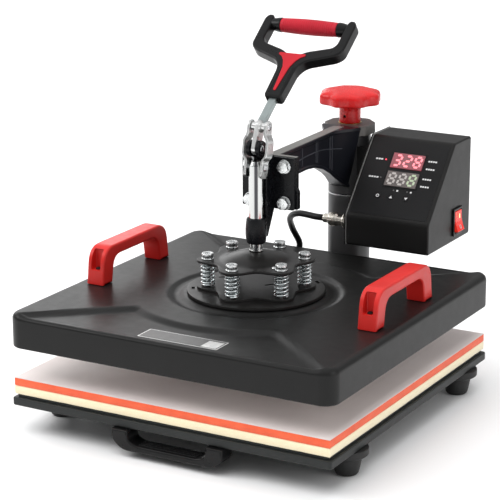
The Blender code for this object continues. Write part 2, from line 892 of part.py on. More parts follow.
def make_handle_frame():
    """Y-shaped frame that holds the cross grip, with a socket for the shank."""
    side = [
        (0.0100, STEM_START),
        (0.0115, 0.080),
        (0.0180, 0.091),
        (0.0510, 0.103),
        (HANDLE_HALF, 0.110),
        (HANDLE_HALF, 0.150),
        (0.053, 0.155),
        (0.048, 0.155),
        (0.0455, 0.150),
        (0.0455, 0.119),
        (0.0420, 0.114),
        (0.0100, 0.105),
    ]
    mirrored = [(-x, s) for x, s in reversed(side)]
    frame = plate(
        "handle_frame", [side + mirrored], HANDLE_DEPTH, (0.0, 0.0, 0.0), FLAT, True
    )
    frame.matrix_world = lever_frame()
    socket_mesh = cube_mesh("socket", (0.0098, 0.026, 0.0070))
    socket = bpy.data.objects.new("socket", socket_mesh)
    middle = Matrix.Translation((0.0, STEM_START + 0.010, 0.0))
    socket.matrix_world = lever_frame() @ middle
    join_shape(frame, socket, "DIFFERENCE")
    left = lever_frame() @ Vector((-0.050, GRIP_DISTANCE, 0.0))
    right = lever_frame() @ Vector((0.050, GRIP_DISTANCE, 0.0))
    join_shape(frame, rod("grip_core", GRIP_CORE, left, right, 16), "UNION")
    link_part(frame, BLACK_PLASTIC)


def make_handle_insert():
    """Thin red inlay on the stem and the fork of the handle."""
    side = [
        (0.0016, 0.045),
        (0.0045, 0.080),
        (0.0100, 0.092),
        (0.0160, 0.0965),
        (0.0150, 0.1005),
        (0.0040, 0.0990),
    ]
    mirrored = [(-x, s) for x, s in reversed(side)]
    insert = plate("handle_insert", [side + mirrored], 0.0010, (0.0, 0.0, 0.0))
    lift = Matrix.Translation((0.0, 0.0, HANDLE_DEPTH / 2 + GAP + 0.0005))
    insert.matrix_world = lever_frame() @ lift
    link_part(insert, RED_PLASTIC)


def make_grip_sleeve():
    """Barrel-shaped soft sleeve round the grip's core."""
    bore = GRIP_CORE + GAP
    half = 0.035
    profile = [
        (bore, half),
        (GRIP_RADIUS - 0.0012, half),
        (GRIP_RADIUS - 0.0002, half / 2),
        (GRIP_RADIUS, 0.0),
        (GRIP_RADIUS - 0.0002, -half / 2),
        (GRIP_RADIUS - 0.0012, -half),
        (bore, -half),
    ]
    sleeve = turned("grip_sleeve", profile, (0.0, 0.0, 0.0), 24, closed=True)
    turn = Matrix.Rotation(math.radians(90.0), 4, "Y")
    place = Matrix.Translation((0.0, GRIP_DISTANCE, 0.0))
    sleeve.matrix_world = lever_frame() @ place @ turn
    link_part(sleeve, RED_RUBBER)


# ---------------------------------------------------------------- links


def link_frame():
    """World matrix of the links: origin on the rod's pin, +Z to the crank pin."""
    low = bed(0.0, 0.0, LINK_PIVOT_Z)
    lean = math.atan2(crank_pin().y - low.y, crank_pin().z - low.z)
    matrix = Matrix.Rotation(-lean, 4, "X")
    matrix.translation = low
    return matrix


def make_link(name, side):
    """A flat bar bent outwards round the clevis ears, with an eye at each end."""
    length = (crank_pin() - bed(0.0, 0.0, LINK_PIVOT_Z)).length
    thick = 0.003
    inner = [
        (0.0083, -0.008),
        (0.0083, 0.007),
        (0.0126, 0.013),
        (0.0126, 0.029),
        (0.0089, 0.036),
        (0.0089, length + 0.008),
    ]
    outer = [(x + thick, z) for x, z in reversed(inner)]
    strip = [(side * x, z) for x, z in inner + outer]
    link = plate(name, [strip], 0.020, (0.0, 0.0, 0.0), FRONT, True)
    link.matrix_world = link_frame() @ link.matrix_world
    stadium = [
        *arc(0.0, 0.0, 0.0068, 180.0, 360.0, 8),
        *arc(0.0, length, 0.0068, 0.0, 180.0, 8),
    ]
    envelope = plate("link_edge_" + name, [stadium], 0.05, (0.0, 0.0, 0.0), SIDE, True)
    envelope.matrix_world = link_frame() @ envelope.matrix_world
    join_shape(link, envelope, "INTERSECT")
    start = link_frame() @ Vector((side * 0.007, 0.0, 0.0))
    end = link_frame() @ Vector((side * 0.016, 0.0, 0.0))
    join_shape(link, rod("link_eye_" + name, 0.0038, start, end, 12), "DIFFERENCE")
    link_part(link, CHROME)


def make_link_pin():
    left = bed(-0.0135, 0.0, LINK_PIVOT_Z)
    right = bed(0.0135, 0.0, LINK_PIVOT_Z)
    link_part(rod("link_pin", 0.0035, left, right, 12), STEEL)


# ---------------------------------------------------------------- control box


def case_outline(inset=0.0):
    """Side view of the control box, with its sloped panel, in y and z."""
    return [
        (BOX_FRONT + inset, BOX_BOTTOM + inset),
        (BOX_BACK - inset, BOX_BOTTOM + inset),
        (BOX_BACK - inset, BOX_TOP - inset),
        (PANEL_HEAD_Y + 0.55 * inset, BOX_TOP - inset),
        (BOX_FRONT + inset, PANEL_FOOT - 0.45 * inset),
    ]


def panel_frame():
    """World matrix of the sloped panel: origin at its lower left corner, +X to
    the right, +Y up the slope and +Z out of it."""
    low = bed(BOX_LEFT, BOX_FRONT, PANEL_FOOT)
    high = bed(BOX_LEFT, PANEL_HEAD_Y, BOX_TOP)
    along = (high - low).normalized()
    right = Vector((1.0, 0.0, 0.0))
    matrix = Matrix((right, along, right.cross(along))).transposed().to_4x4()
    matrix.translation = low
    return matrix


def panel_box(name, centre, size):
    obj = bpy.data.objects.new(name, cube_mesh(name, size))
    obj.matrix_world = panel_frame() @ Matrix.Translation(centre)
    return obj


DISPLAY_CENTRE = (0.0557, 0.0632)
DISPLAY_SIZE = (0.0430, 0.0460)
KEYS = {"key_set": 0.0328, "key_up": 0.0494, "key_down": 0.0681}
KEY_HEIGHT = 0.0286
KEY_RADIUS = 0.0036
SWITCH_Y = 0.2190
SWITCH_Z = 0.1415
SWITCH_WIDE = 0.0240
SWITCH_TALL = 0.0320
ROCKER_TILT = math.radians(-10.0)
INLET_X = 0.1000
INLET_Z = 0.1400
PLUG_Y = 0.1500
PLUG_Z = 0.1440


def make_control_case():
    """Folded casing, open on the side that faces the hub."""
    left = BOX_LEFT + 0.0022
    width = BOX_RIGHT - left
    centre = bed((BOX_RIGHT + left) / 2, 0.0, 0.0)
    case = plate("control_case", [case_outline()], width, centre, SIDE, True)
    hollow_width = width - BOX_WALL + 0.01
    hollow_centre = bed((BOX_RIGHT - BOX_WALL + left - 0.01) / 2, 0.0, 0.0)
    hollow = plate(
        "case_hollow", [case_outline(BOX_WALL)], hollow_width, hollow_centre, SIDE, True
    )
    join_shape(case, hollow, "DIFFERENCE")
    window_size = (DISPLAY_SIZE[0] + 0.0006, DISPLAY_SIZE[1] + 0.0006, 0.012)
    window = panel_box("display_cut", (*DISPLAY_CENTRE, 0.0), window_size)
    join_shape(case, window, "DIFFERENCE")
    for name, x in KEYS.items():
        low = panel_frame() @ Vector((x, KEY_HEIGHT, -0.008))
        high = panel_frame() @ Vector((x, KEY_HEIGHT, 0.008))
        cut = rod(name + "_cut", KEY_RADIUS + 0.0004, low, high, 12)
        join_shape(case, cut, "DIFFERENCE")
    switch = box(
        "switch_cut",
        (BOX_RIGHT - 0.01, SWITCH_Y - 0.0108, SWITCH_Z - 0.0148),
        (BOX_RIGHT + 0.01, SWITCH_Y + 0.0108, SWITCH_Z + 0.0148),
    )
    join_shape(case, switch, "DIFFERENCE")
    inlet = box(
        "inlet_cut",
        (INLET_X - 0.0145, BOX_BACK - 0.01, INLET_Z - 0.0105),
        (INLET_X + 0.0145, BOX_BACK + 0.01, INLET_Z + 0.0105),
    )
    join_shape(case, inlet, "DIFFERENCE")
    link_part(case, BLACK_PAINT)


def make_control_mount():
    """Side plate that closes the casing, with a saddle block against the hub."""
    thick = 0.0018
    centre = bed(BOX_LEFT + thick / 2, 0.0, 0.0)
    mount = plate("control_mount", [case_outline()], thick, centre, SIDE, True)
    block = box("saddle", (0.0150, 0.2060, 0.1700), (BOX_LEFT + 0.001, 0.2400, 0.2180))
    join_shape(mount, block, "UNION")
    low = bed(0.0, POST_REACH, 0.14)
    high = bed(0.0, POST_REACH, 0.26)
    join_shape(mount, rod("saddle_cut", POST_RADIUS + GAP, low, high, 32), "DIFFERENCE")
    link_part(mount, BLACK_PAINT)


def make_display():
    """Window block in the panel: two raised readout windows on a carrier."""
    size = (*DISPLAY_SIZE, 0.0060)
    display = panel_box("display_module", (*DISPLAY_CENTRE, -0.0020), size)
    for name, y in (("upper_window", 0.0752), ("lower_window", 0.0516)):
        pane = panel_box(name, (DISPLAY_CENTRE[0], y, 0.0011), (0.0390, 0.0190, 0.0014))
        join_shape(display, pane, "UNION")
    link_part(display, SMOKED_WINDOW)


def make_keys():
    for name, x in KEYS.items():
        profile = [
            (0.0, 0.0010),
            (KEY_RADIUS - 0.0005, 0.0010),
            (KEY_RADIUS, 0.0006),
            (KEY_RADIUS, -0.0050),
            (0.0, -0.0050),
        ]
        key = turned(name, profile, (0.0, 0.0, 0.0), 16)
        key.matrix_world = panel_frame() @ Matrix.Translation((x, KEY_HEIGHT, 0.0))
        link_part(key, BLACK_PLASTIC)


def make_power_switch():
    """Rocker frame on the casing's right side with the rocker in it."""
    wide = SWITCH_WIDE / 2
    tall = SWITCH_TALL / 2
    frame_low = (BOX_RIGHT + GAP, SWITCH_Y - wide, SWITCH_Z - tall)
    frame_high = (BOX_RIGHT + 0.0020, SWITCH_Y + wide, SWITCH_Z + tall)
    frame = box("switch_frame", frame_low, frame_high)
    body_low = (BOX_RIGHT - 0.0140, SWITCH_Y - 0.0105, SWITCH_Z - 0.0145)
    body_high = (BOX_RIGHT + 0.0010, SWITCH_Y + 0.0105, SWITCH_Z + 0.0145)
    join_shape(frame, box("switch_body", body_low, body_high), "UNION")
    well_low = (BOX_RIGHT - 0.0120, SWITCH_Y - 0.0092, SWITCH_Z - 0.0130)
    well_high = (BOX_RIGHT + 0.0100, SWITCH_Y + 0.0092, SWITCH_Z + 0.0130)
    join_shape(frame, box("switch_well", well_low, well_high), "DIFFERENCE")
    link_part(frame, BLACK_PLASTIC)

    outline = [
        (0.0046, -0.0118),
        (0.0026, 0.0),
        (0.0046, 0.0118),
        (-0.0010, 0.0112),
        (-0.0080, 0.0040),
        (-0.0080, -0.0040),
        (-0.0010, -0.0112),
    ]
    rocker = plate("power_rocker", [outline], 0.0176, (0.0, 0.0, 0.0), FRONT, True)
    turn = Matrix.Rotation(ROCKER_TILT, 4, "Y")
    turn.translation = bed(BOX_RIGHT, SWITCH_Y, SWITCH_Z)
    rocker.matrix_world = turn @ rocker.matrix_world
    link_part(rocker, RED_PLASTIC)


def make_circuit_board():
    low = (BOX_LEFT + 0.012, 0.1600, BOX_BOTTOM + 0.030)
    high = (BOX_RIGHT - 0.020, 0.2330, BOX_BOTTOM + 0.0316)
    link_part(box("circuit_board", low, high), BOARD_GREEN)


def make_mains_inlet():
    """Recessed three-pin socket block in the back of the casing."""
    low = (INLET_X - 0.0142, BOX_BACK - 0.0180, INLET_Z - 0.0102)
    high = (INLET_X + 0.0142, BOX_BACK + 0.0015, INLET_Z + 0.0102)
    inlet = box("mains_inlet", low, high)
    well_low = (INLET_X - 0.0120, BOX_BACK - 0.0150, INLET_Z - 0.0080)
    well_high = (INLET_X + 0.0120, BOX_BACK + 0.0100, INLET_Z + 0.0080)
    join_shape(inlet, box("inlet_well", well_low, well_high), "DIFFERENCE")
    link_part(inlet, BLACK_PLASTIC)


def make_cable_plug():
    """Round metal plug on the casing's left side, along X."""
    length = BOX_LEFT - GAP - 0.005
    profile = [
        (0.0, length),
        (0.0052, length),
        (0.0052, length - 0.006),
        (0.0078, length - 0.008),
        (0.0078, length - 0.017),
        (0.0066, length - 0.019),
        (0.0066, 0.004),
        (0.0085, 0.003),
        (0.0085, 0.0),
        (0.0, 0.0),
    ]
    place = bed(BOX_LEFT - GAP, PLUG_Y, PLUG_Z)
    turn = (0.0, math.radians(-90.0), 0.0)
    link_part(turned("cable_plug", profile, place, 20, rotation=turn), CHROME)


def smooth_route(points, count):
    """Points at even steps along a smooth curve through the given ones."""
    padded = [2 * points[0] - points[1], *points, 2 * points[-1] - points[-2]]
    samples = []
    for i in range(len(points) - 1):
        p0, p1, p2, p3 = padded[i : i + 4]
        for step in range(20):
            t = step / 20
            a = 2 * p1
            b = p2 - p0
            c = 2 * p0 - 5 * p1 + 4 * p2 - p3
            d = 3 * p1 - p0 - 3 * p2 + p3
            samples.append((a + b * t + c * t * t + d * t**3) / 2)
    samples.append(points[-1])
    distances = [0.0]
    for a, b in zip(samples, samples[1:]):
        distances.append(distances[-1] + (b - a).length)
    route = []
    k = 0
    for i in range(count):
        target = distances[-1] * i / (count - 1)
        while k < len(samples) - 2 and distances[k + 1] < target:
            k += 1
        span = distances[k + 1] - distances[k]
        route.append(samples[k].lerp(samples[k + 1], (target - distances[k]) / span))
    return route


def make_heater_cable():
    """Lead from the plug to the gland on the back of the platen."""
    points = [
        bed(0.0050 - GAP, PLUG_Y, PLUG_Z),
        bed(-0.0060, PLUG_Y, PLUG_Z),
        bed(-0.0300, 0.1570, 0.1425),
        bed(-0.0490, 0.1740, 0.1320),
        bed(-0.0580, 0.1920, 0.1150),
        bed(GLAND_X, GLAND_Y, GLAND_TOP + GAP + 0.0100),
        bed(GLAND_X, GLAND_Y, GLAND_TOP + GAP),
    ]
    route = smooth_route(points, 16)
    curve = bpy.data.curves.new("heater_cable", "CURVE")
    curve.dimensions = "3D"
    curve.bevel_depth = 0.00375
    curve.bevel_resolution = 2
    curve.use_fill_caps = True
    spline = curve.splines.new("POLY")
    spline.points.add(len(route) - 1)
    for point, place in zip(spline.points, route):
        point.co = (*place, 1.0)
    link_part(bpy.data.objects.new("heater_cable", curve), RUBBER)


# ---------------------------------------------------------------- assembly


def gather(name, place, members, parent=None):
    """An empty on the joint's axis that carries the pieces of one body."""
    empty = bpy.data.objects.new(name, None)
    empty.location = place
    PARTS.objects.link(empty)
    bpy.context.view_layer.update()
    if parent:
        empty.parent = parent
        empty.matrix_parent_inverse = parent.matrix_world.inverted()
    for member in members:
        obj = bpy.data.objects[member]
        obj.parent = empty
        obj.matrix_parent_inverse = Matrix.Translation(place).inverted()
    return empty


def assemble():
    post = bed(0.0, POST_REACH, HUB_BOTTOM)
    press = bed(0.0, 0.0, COVER_BOTTOM)
    bolts = [f"spring_bolt_{i}" for i in range(1, BOLT_COUNT + 1)]
    springs = [f"spring_{i}" for i in range(1, BOLT_COUNT + 1)]
    gather(
        "bed_root",
        bed(0.0, 0.0, 0.0),
        [
            "base_plate",
            "felt_pad",
            "silicone_pad",
            "pad_cloth",
            "foot_front_left",
            "foot_front_right",
            "foot_rear_left",
            "foot_rear_right",
            "carry_handle",
            "post",
        ],
    )
    lift = gather("lift_axis", post, ["thrust_ring"])
    gather("knob_axis", post, ["pressure_knob", "lift_screw"], lift)
    arm = gather(
        "swing_axis",
        post,
        [
            "swing_arm",
            "toggle_base",
            "toggle_bolt_1",
            "toggle_bolt_2",
            "toggle_bolt_3",
            "toggle_bolt_4",
            "lever_pin",
            "control_mount",
            "control_case",
            "circuit_board",
            "display_module",
            "switch_frame",
            "mains_inlet",
            "cable_plug",
            "heater_cable",
            "key_set",
            "key_up",
            "key_down",
            "power_rocker",
        ],
        lift,
    )
    platen = gather(
        "platen_axis",
        press,
        [
            "platen_cover",
            "heater_plate",
            "spring_seat",
            "handle_left",
            "handle_right",
            "cable_gland",
            *bolts,
            *springs,
        ],
        arm,
    )
    plunger = gather("plunger_axis", press, ["press_rod", "press_flange"], platen)
    pivot = bed(0.0, 0.0, LEVER_PIVOT_Z)
    lever_parts = ["lever_bar", "handle_frame", "handle_insert", "grip_sleeve"]
    gather("lever_axis", pivot, lever_parts, arm)
    rod_pin = bed(0.0, 0.0, LINK_PIVOT_Z)
    gather("link_axis", rod_pin, ["link_left", "link_right", "link_pin"], plunger)


def main():
    make_base_plate()
    make_pads()
    make_feet()
    make_carry_handle()
    make_post()
    make_cover()
    make_heater()
    make_platen_handle("handle_left", -0.1675)
    make_platen_handle("handle_right", 0.1675)
    make_spring_seat()
    make_press_flange()
    make_spring_bolts()
    make_springs()
    make_cable_gland()
    make_press_rod()
    make_swing_arm()
    make_toggle_base()
    make_toggle_bolts()
    make_lever_pin()
    make_thrust_ring()
    make_knob()
    make_lift_screw()
    make_lever_bar()
    make_handle_frame()
    make_handle_insert()
    make_grip_sleeve()
    make_link("link_left", -1.0)
    make_link("link_right", 1.0)
    make_link_pin()
    make_control_case()
    make_control_mount()
    make_display()
    make_keys()
    make_power_switch()
    make_circuit_board()
    make_mains_inlet()
    make_cable_plug()
    make_heater_cable()
    assemble()


main()
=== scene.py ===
import json
import math

import bmesh
import bpy
from mathutils import Matrix, Vector

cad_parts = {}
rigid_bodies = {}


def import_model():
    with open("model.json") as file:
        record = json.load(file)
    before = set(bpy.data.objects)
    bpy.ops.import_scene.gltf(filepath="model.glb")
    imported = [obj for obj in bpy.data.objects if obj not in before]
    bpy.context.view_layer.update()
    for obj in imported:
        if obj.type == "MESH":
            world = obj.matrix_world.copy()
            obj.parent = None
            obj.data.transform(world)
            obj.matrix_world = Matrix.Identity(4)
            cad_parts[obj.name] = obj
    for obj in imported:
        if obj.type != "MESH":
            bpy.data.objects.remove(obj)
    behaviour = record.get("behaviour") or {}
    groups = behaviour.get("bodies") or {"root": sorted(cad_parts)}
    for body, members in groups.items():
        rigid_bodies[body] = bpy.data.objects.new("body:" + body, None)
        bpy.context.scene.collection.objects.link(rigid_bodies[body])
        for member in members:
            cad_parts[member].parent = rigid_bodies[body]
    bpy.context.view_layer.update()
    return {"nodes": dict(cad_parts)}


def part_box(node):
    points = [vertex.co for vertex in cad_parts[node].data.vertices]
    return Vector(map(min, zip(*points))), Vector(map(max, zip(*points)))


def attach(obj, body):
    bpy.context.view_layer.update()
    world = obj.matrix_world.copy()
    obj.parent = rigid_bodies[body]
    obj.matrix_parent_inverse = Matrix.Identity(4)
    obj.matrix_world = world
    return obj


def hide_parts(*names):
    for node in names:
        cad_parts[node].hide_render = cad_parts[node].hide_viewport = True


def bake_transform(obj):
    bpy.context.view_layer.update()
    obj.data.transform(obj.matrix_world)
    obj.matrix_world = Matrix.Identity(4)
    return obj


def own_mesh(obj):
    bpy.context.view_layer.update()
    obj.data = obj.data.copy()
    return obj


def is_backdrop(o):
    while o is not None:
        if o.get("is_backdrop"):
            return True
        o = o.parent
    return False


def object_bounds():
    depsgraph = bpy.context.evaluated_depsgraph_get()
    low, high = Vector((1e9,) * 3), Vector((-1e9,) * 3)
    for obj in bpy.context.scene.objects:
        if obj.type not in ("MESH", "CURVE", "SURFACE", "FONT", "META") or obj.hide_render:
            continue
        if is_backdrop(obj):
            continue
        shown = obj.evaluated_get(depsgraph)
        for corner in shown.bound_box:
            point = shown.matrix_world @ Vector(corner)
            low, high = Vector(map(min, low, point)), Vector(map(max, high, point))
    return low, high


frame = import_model()
NODES = frame["nodes"]

# The pressing axis and the top of the base plate's rim, which most places are counted from.
heater_low, heater_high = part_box("heater_plate")
AXIS = Vector(((heater_low.x + heater_high.x) / 2, (heater_low.y + heater_high.y) / 2, 0.0))
felt_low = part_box("felt_pad")[0]
CAD_GAP, STEP_HEIGHT = 0.0003, 0.003
BED = felt_low.z - CAD_GAP - STEP_HEIGHT
hub_low, hub_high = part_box("thrust_ring")
POST_Y = (hub_low.y + hub_high.y) / 2 - AXIS.y


def at(x, y, z):
    """A point from x, y about the pressing axis and z above the base plate."""
    return Vector((AXIS.x + x, AXIS.y + y, BED + z))


# ---------------------------------------------------------------- materials


class Look:
    """A material under construction, with short names for its nodes."""

    def __init__(self, name, color, rough, metal=0.0, **sockets):
        self.mat = bpy.data.materials.new(name)
        self.mat.use_nodes = True
        self.tree = self.mat.node_tree
        self.shader = self.tree.nodes["Principled BSDF"]
        self.shader.inputs["Base Color"].default_value = (*color, 1.0)
        self.shader.inputs["Roughness"].default_value = rough
        self.shader.inputs["Metallic"].default_value = metal
        for key, value in sockets.items():
            self.shader.inputs[key.replace("_", " ")].default_value = value
        self.coords = self.tree.nodes.new("ShaderNodeTexCoord")
        self.height = None

    def noise(self, scale, detail=3.0, stretch=(1.0, 1.0, 1.0), rough=0.55):
        mapping = self.tree.nodes.new("ShaderNodeMapping")
        mapping.inputs["Scale"].default_value = stretch
        self.tree.links.new(self.coords.outputs["Object"], mapping.inputs["Vector"])
        node = self.tree.nodes.new("ShaderNodeTexNoise")
        node.inputs["Scale"].default_value = scale
        node.inputs["Detail"].default_value = detail
        node.inputs["Roughness"].default_value = rough
        self.tree.links.new(mapping.outputs["Vector"], node.inputs["Vector"])
        return node.outputs["Fac"]

    def wave(self, scale, direction, distortion=0.0):
        node = self.tree.nodes.new("ShaderNodeTexWave")
        node.bands_direction = direction
        node.inputs["Scale"].default_value = scale
        node.inputs["Distortion"].default_value = distortion
        self.tree.links.new(self.coords.outputs["Object"], node.inputs["Vector"])
        return node.outputs["Fac"]

    def cells(self, scale):
        node = self.tree.nodes.new("ShaderNodeTexVoronoi")
        node.inputs["Scale"].default_value = scale
        self.tree.links.new(self.coords.outputs["Object"], node.inputs["Vector"])
        return node.outputs["Distance"]

    def around(self, count, phase):
        """A smooth band pattern round the local Z axis, from 0 to 1, used for the rod's painted
        reflection bands.
        """
        split = self.tree.nodes.new("ShaderNodeSeparateXYZ")
        self.tree.links.new(self.coords.outputs["Object"], split.inputs["Vector"])
        turn = self.math("ARCTAN2", split.outputs["Y"], split.outputs["X"])
        wave = self.math("MULTIPLY", self.math("ADD", turn, phase), float(count))
        level = self.math("MULTIPLY", self.math("COSINE", wave, 0.0), 0.5)
        return self.math("ADD", level, 0.5)

    def math(self, operation, a, b):
        node = self.tree.nodes.new("ShaderNodeMath")
        node.operation = operation
        for socket, value in zip(node.inputs, (a, b)):
            if isinstance(value, (int, float)):
                socket.default_value = value
            else:
                self.tree.links.new(value, socket)
        return node.outputs[0]

    def ramp(self, source, stops):
        node = self.tree.nodes.new("ShaderNodeValToRGB")
        elements = node.color_ramp.elements
        while len(elements) < len(stops):
            elements.new(0.5)
        for element, (place, color) in zip(elements, stops):
            element.position = place
            element.color = (*color, 1.0)
        self.tree.links.new(source, node.inputs["Fac"])
        return node.outputs["Color"]

    def color(self, source, dark, light, low=0.3, high=0.7):
        self.tree.links.new(self.ramp(source, [(low, dark), (high, light)]),
            self.shader.inputs["Base Color"])
        return self

    def rough(self, source, low, high):
        node = self.tree.nodes.new("ShaderNodeMapRange")
        node.inputs["From Min"].default_value = 0.3
        node.inputs["From Max"].default_value = 0.7
        node.inputs["To Min"].default_value = low
        node.inputs["To Max"].default_value = high
        self.tree.links.new(source, node.inputs["Value"])
        self.tree.links.new(node.outputs["Result"], self.shader.inputs["Roughness"])
        return self

    def bump(self, source, strength, distance=0.001):
        node = self.tree.nodes.new("ShaderNodeBump")
        node.inputs["Strength"].default_value = strength
        node.inputs["Distance"].default_value = distance
        self.tree.links.new(source, node.inputs["Height"])
        if self.height:
            self.tree.links.new(self.height, node.inputs["Normal"])
        self.height = node.outputs["Normal"]
        self.tree.links.new(self.height, self.shader.inputs["Normal"])
        return self

    def glow(self, color, strength):
        self.shader.inputs["Emission Color"].default_value = (*color, 1.0)
        self.shader.inputs["Emission Strength"].default_value = strength
        return self


def powder_coat(name, shade, rough, specular=0.5):
    look = Look(name, shade, rough, Specular_IOR_Level=specular)
    dark = tuple(c * 0.9 for c in shade)
    light = tuple(c * 1.1 for c in shade)
    look.color(look.noise(18.0, 4.0), dark, light)
    look.rough(look.noise(90.0, 4.0), rough - 0.02, rough + 0.03)
    look.bump(look.noise(1500.0, 2.0), 0.08, 0.0003)
    return look.mat


def moulded(name, shade, rough, grain=1800.0, strength=0.06, **sockets):
    look = Look(name, shade, rough, **sockets)
    look.color(look.noise(30.0, 3.0), tuple(c * 0.9 for c in shade), tuple(c * 1.08 for c in shade))
    look.rough(look.noise(120.0, 4.0), rough - 0.04, rough + 0.06)
    look.bump(look.noise(grain, 2.0), strength, 0.0002)
    return look.mat


def metal(name, shade, rough, stretch=(1.0, 1.0, 1.0), strength=0.05, scale=700.0):
    look = Look(name, shade, rough, 1.0)
    dark = tuple(c * 0.86 for c in shade)
    look.color(look.noise(90.0, 4.0), dark, shade)
    look.rough(look.noise(scale, 4.0, stretch), max(0.04, rough - 0.06), rough + 0.08)
    look.bump(look.noise(scale, 3.0, stretch), strength, 0.0002)
    return look.mat


COVER_PAINT = powder_coat("cover_paint", (0.009, 0.009, 0.0088), 0.36, 0.22)
BASE_PAINT = powder_coat("base_paint", (0.018, 0.02, 0.0195), 0.44, 0.3)
CAST_PAINT = powder_coat("cast_paint", (0.0042, 0.0046, 0.006), 0.27, 0.2)
# Light grey for a slab along the control box's side edge, a painted highlight.
PAINTED_EDGE_HIGHLIGHT = powder_coat("painted_edge_highlight", (0.34, 0.34, 0.33), 0.34)
ARM_PAINT = powder_coat("arm_paint", (0.011, 0.012, 0.0165), 0.3, 0.35)
# Light grey skin for the top faces of the arm and its bolting pad, a painted highlight.
PAINTED_TOP_HIGHLIGHT = powder_coat("painted_top_highlight", (0.17, 0.165, 0.155), 0.36)
# Lighter than the arm's paint, for the web's ribs and ridge lines as painted highlights.
PAINTED_RIB_HIGHLIGHT = powder_coat("painted_rib_highlight", (0.045, 0.048, 0.06), 0.3)
POST_PAINT = powder_coat("post_paint", (0.045, 0.045, 0.046), 0.38)
BOX_PAINT = powder_coat("box_paint", (0.009, 0.0088, 0.0086), 0.38, 0.25)
HUB_PAINT = powder_coat("hub_paint", (0.105, 0.1, 0.093), 0.4)
FLANGE_PAINT = powder_coat("flange_paint", (0.01, 0.0096, 0.0092), 0.32, 0.26)
BLACK_PLASTIC = moulded("handle_black", (0.005, 0.005, 0.0053), 0.3, Specular_IOR_Level=0.25)
FOOT_RUBBER = moulded("foot_rubber", (0.01, 0.01, 0.01), 0.55, 900.0, 0.15)
CABLE_RUBBER = moulded("cable_rubber", (0.006, 0.006, 0.0063), 0.36, 700.0, 0.1,
    Specular_IOR_Level=0.25)
RED_PLASTIC = moulded("red_plastic", (0.56, 0.018, 0.014), 0.32, 260.0, 0.015, Specular_IOR_Level=0.35)
KNOB_RED = moulded("knob_red", (0.62, 0.014, 0.015), 0.26, 260.0, 0.01, Specular_IOR_Level=0.35)
GRIP_RED = moulded("grip_red", (0.44, 0.01, 0.024), 0.46, 2600.0, 0.12, Specular_IOR_Level=0.25)
INSERT_RED = moulded("insert_red", (0.46, 0.01, 0.02), 0.42, 1800.0, 0.06, Specular_IOR_Level=0.2)
ZINC = metal("zinc", (0.84, 0.86, 0.86), 0.24, (1.0, 1.0, 1.0), 0.06, 500.0)
SPRING_ZINC = metal("spring_zinc", (0.86, 0.92, 0.93), 0.24, (1.0, 1.0, 1.0), 0.03, 600.0)
LINK_STEEL = metal("link_steel", (0.84, 0.85, 0.84), 0.3, (1.0, 1.0, 0.2), 0.05, 500.0)
LEVER_STEEL = metal("lever_steel", (0.46, 0.52, 0.515), 0.34, (6.0, 1.0, 0.4), 0.06, 300.0)
# Chrome rod: four dark bands round it are painted into the colour as a painted reflection of dark
# surroundings; the roughness streaks are real.
rod_painted_reflection_look = Look("rod_chrome_painted_reflection", (0.6, 0.61, 0.62), 0.1, 1.0)
rod_painted_reflection_look.color(rod_painted_reflection_look.around(4, math.radians(60.0)), (0.6, 0.61, 0.6), (0.075, 0.075, 0.08), 0.7,
    0.86)
rod_painted_reflection_look.rough(rod_painted_reflection_look.noise(900.0, 3.0, (1.0, 1.0, 0.05)), 0.08, 0.16)
ROD_CHROME_PAINTED_REFLECTION = rod_painted_reflection_look.mat
STEEL = metal("steel", (0.58, 0.59, 0.6), 0.28, (1.0, 1.0, 12.0), 0.08, 200.0)
BRASS = metal("brass", (0.8, 0.55, 0.22), 0.22)
PLUG_METAL = metal("plug_metal", (0.78, 0.74, 0.66), 0.16)
ALUMINIUM = metal("aluminium", (0.72, 0.72, 0.72), 0.36, (0.3, 12.0, 1.0), 0.1, 160.0)
DARK = Look("slot_dark", (0.003, 0.003, 0.003), 0.7).mat
BOARD = moulded("board_green", (0.01, 0.1, 0.035), 0.35)

silicone = Look("silicone_orange", (0.86, 0.115, 0.035), 0.46)
silicone.color(silicone.noise(60.0, 3.0), (0.8, 0.1, 0.03), (0.9, 0.13, 0.042))
silicone.bump(silicone.cells(900.0), 0.22, 0.0004).bump(silicone.noise(260.0), 0.1, 0.0004)
SILICONE = silicone.mat

felt = Look("felt_cream", (0.95, 0.83, 0.58), 0.95, Sheen_Weight=0.5, Sheen_Roughness=0.5)
fibres = felt.noise(650.0, 6.0, (1.0, 1.0, 2.2), 0.75)
felt.color(fibres, (0.9, 0.77, 0.5), (0.98, 0.88, 0.64))
felt.bump(fibres, 0.4, 0.0006).bump(felt.noise(120.0, 3.0), 0.25, 0.001)
FELT = felt.mat

cloth = Look("coated_cloth", (0.74, 0.66, 0.63), 0.48)
threads = cloth.math("MULTIPLY", cloth.wave(180.0, "X", 0.3), cloth.wave(180.0, "Y", 0.3))
cloth.color(cloth.noise(9.0, 3.0), (0.7, 0.62, 0.6), (0.78, 0.7, 0.67))
cloth.rough(threads, 0.42, 0.58).bump(threads, 0.15, 0.0003)
CLOTH = cloth.mat

film = Look("panel_film", (0.005, 0.005, 0.0055), 0.38, Specular_IOR_Level=0.3)
film.rough(film.noise(60.0, 3.0), 0.31, 0.38).bump(film.noise(2600.0), 0.05, 0.0001)
PANEL_FILM = film.mat
printed = Look("print_white", (0.62, 0.62, 0.62), 0.5)
printed.color(printed.noise(900.0, 2.0), (0.5, 0.5, 0.5), (0.7, 0.7, 0.7))
PRINT = printed.mat
label = Look("label_grey", (0.1, 0.1, 0.1), 0.3)
label.color(label.noise(120.0, 3.0), (0.03, 0.03, 0.03), (0.055, 0.054, 0.052))
LABEL_GREY = label.mat
foil = Look("label_foil", (0.6, 0.6, 0.6), 0.28, 0.6)
foil.color(foil.noise(200.0, 3.0), (0.52, 0.52, 0.52), (0.72, 0.72, 0.7))
LABEL_FOIL = foil.mat

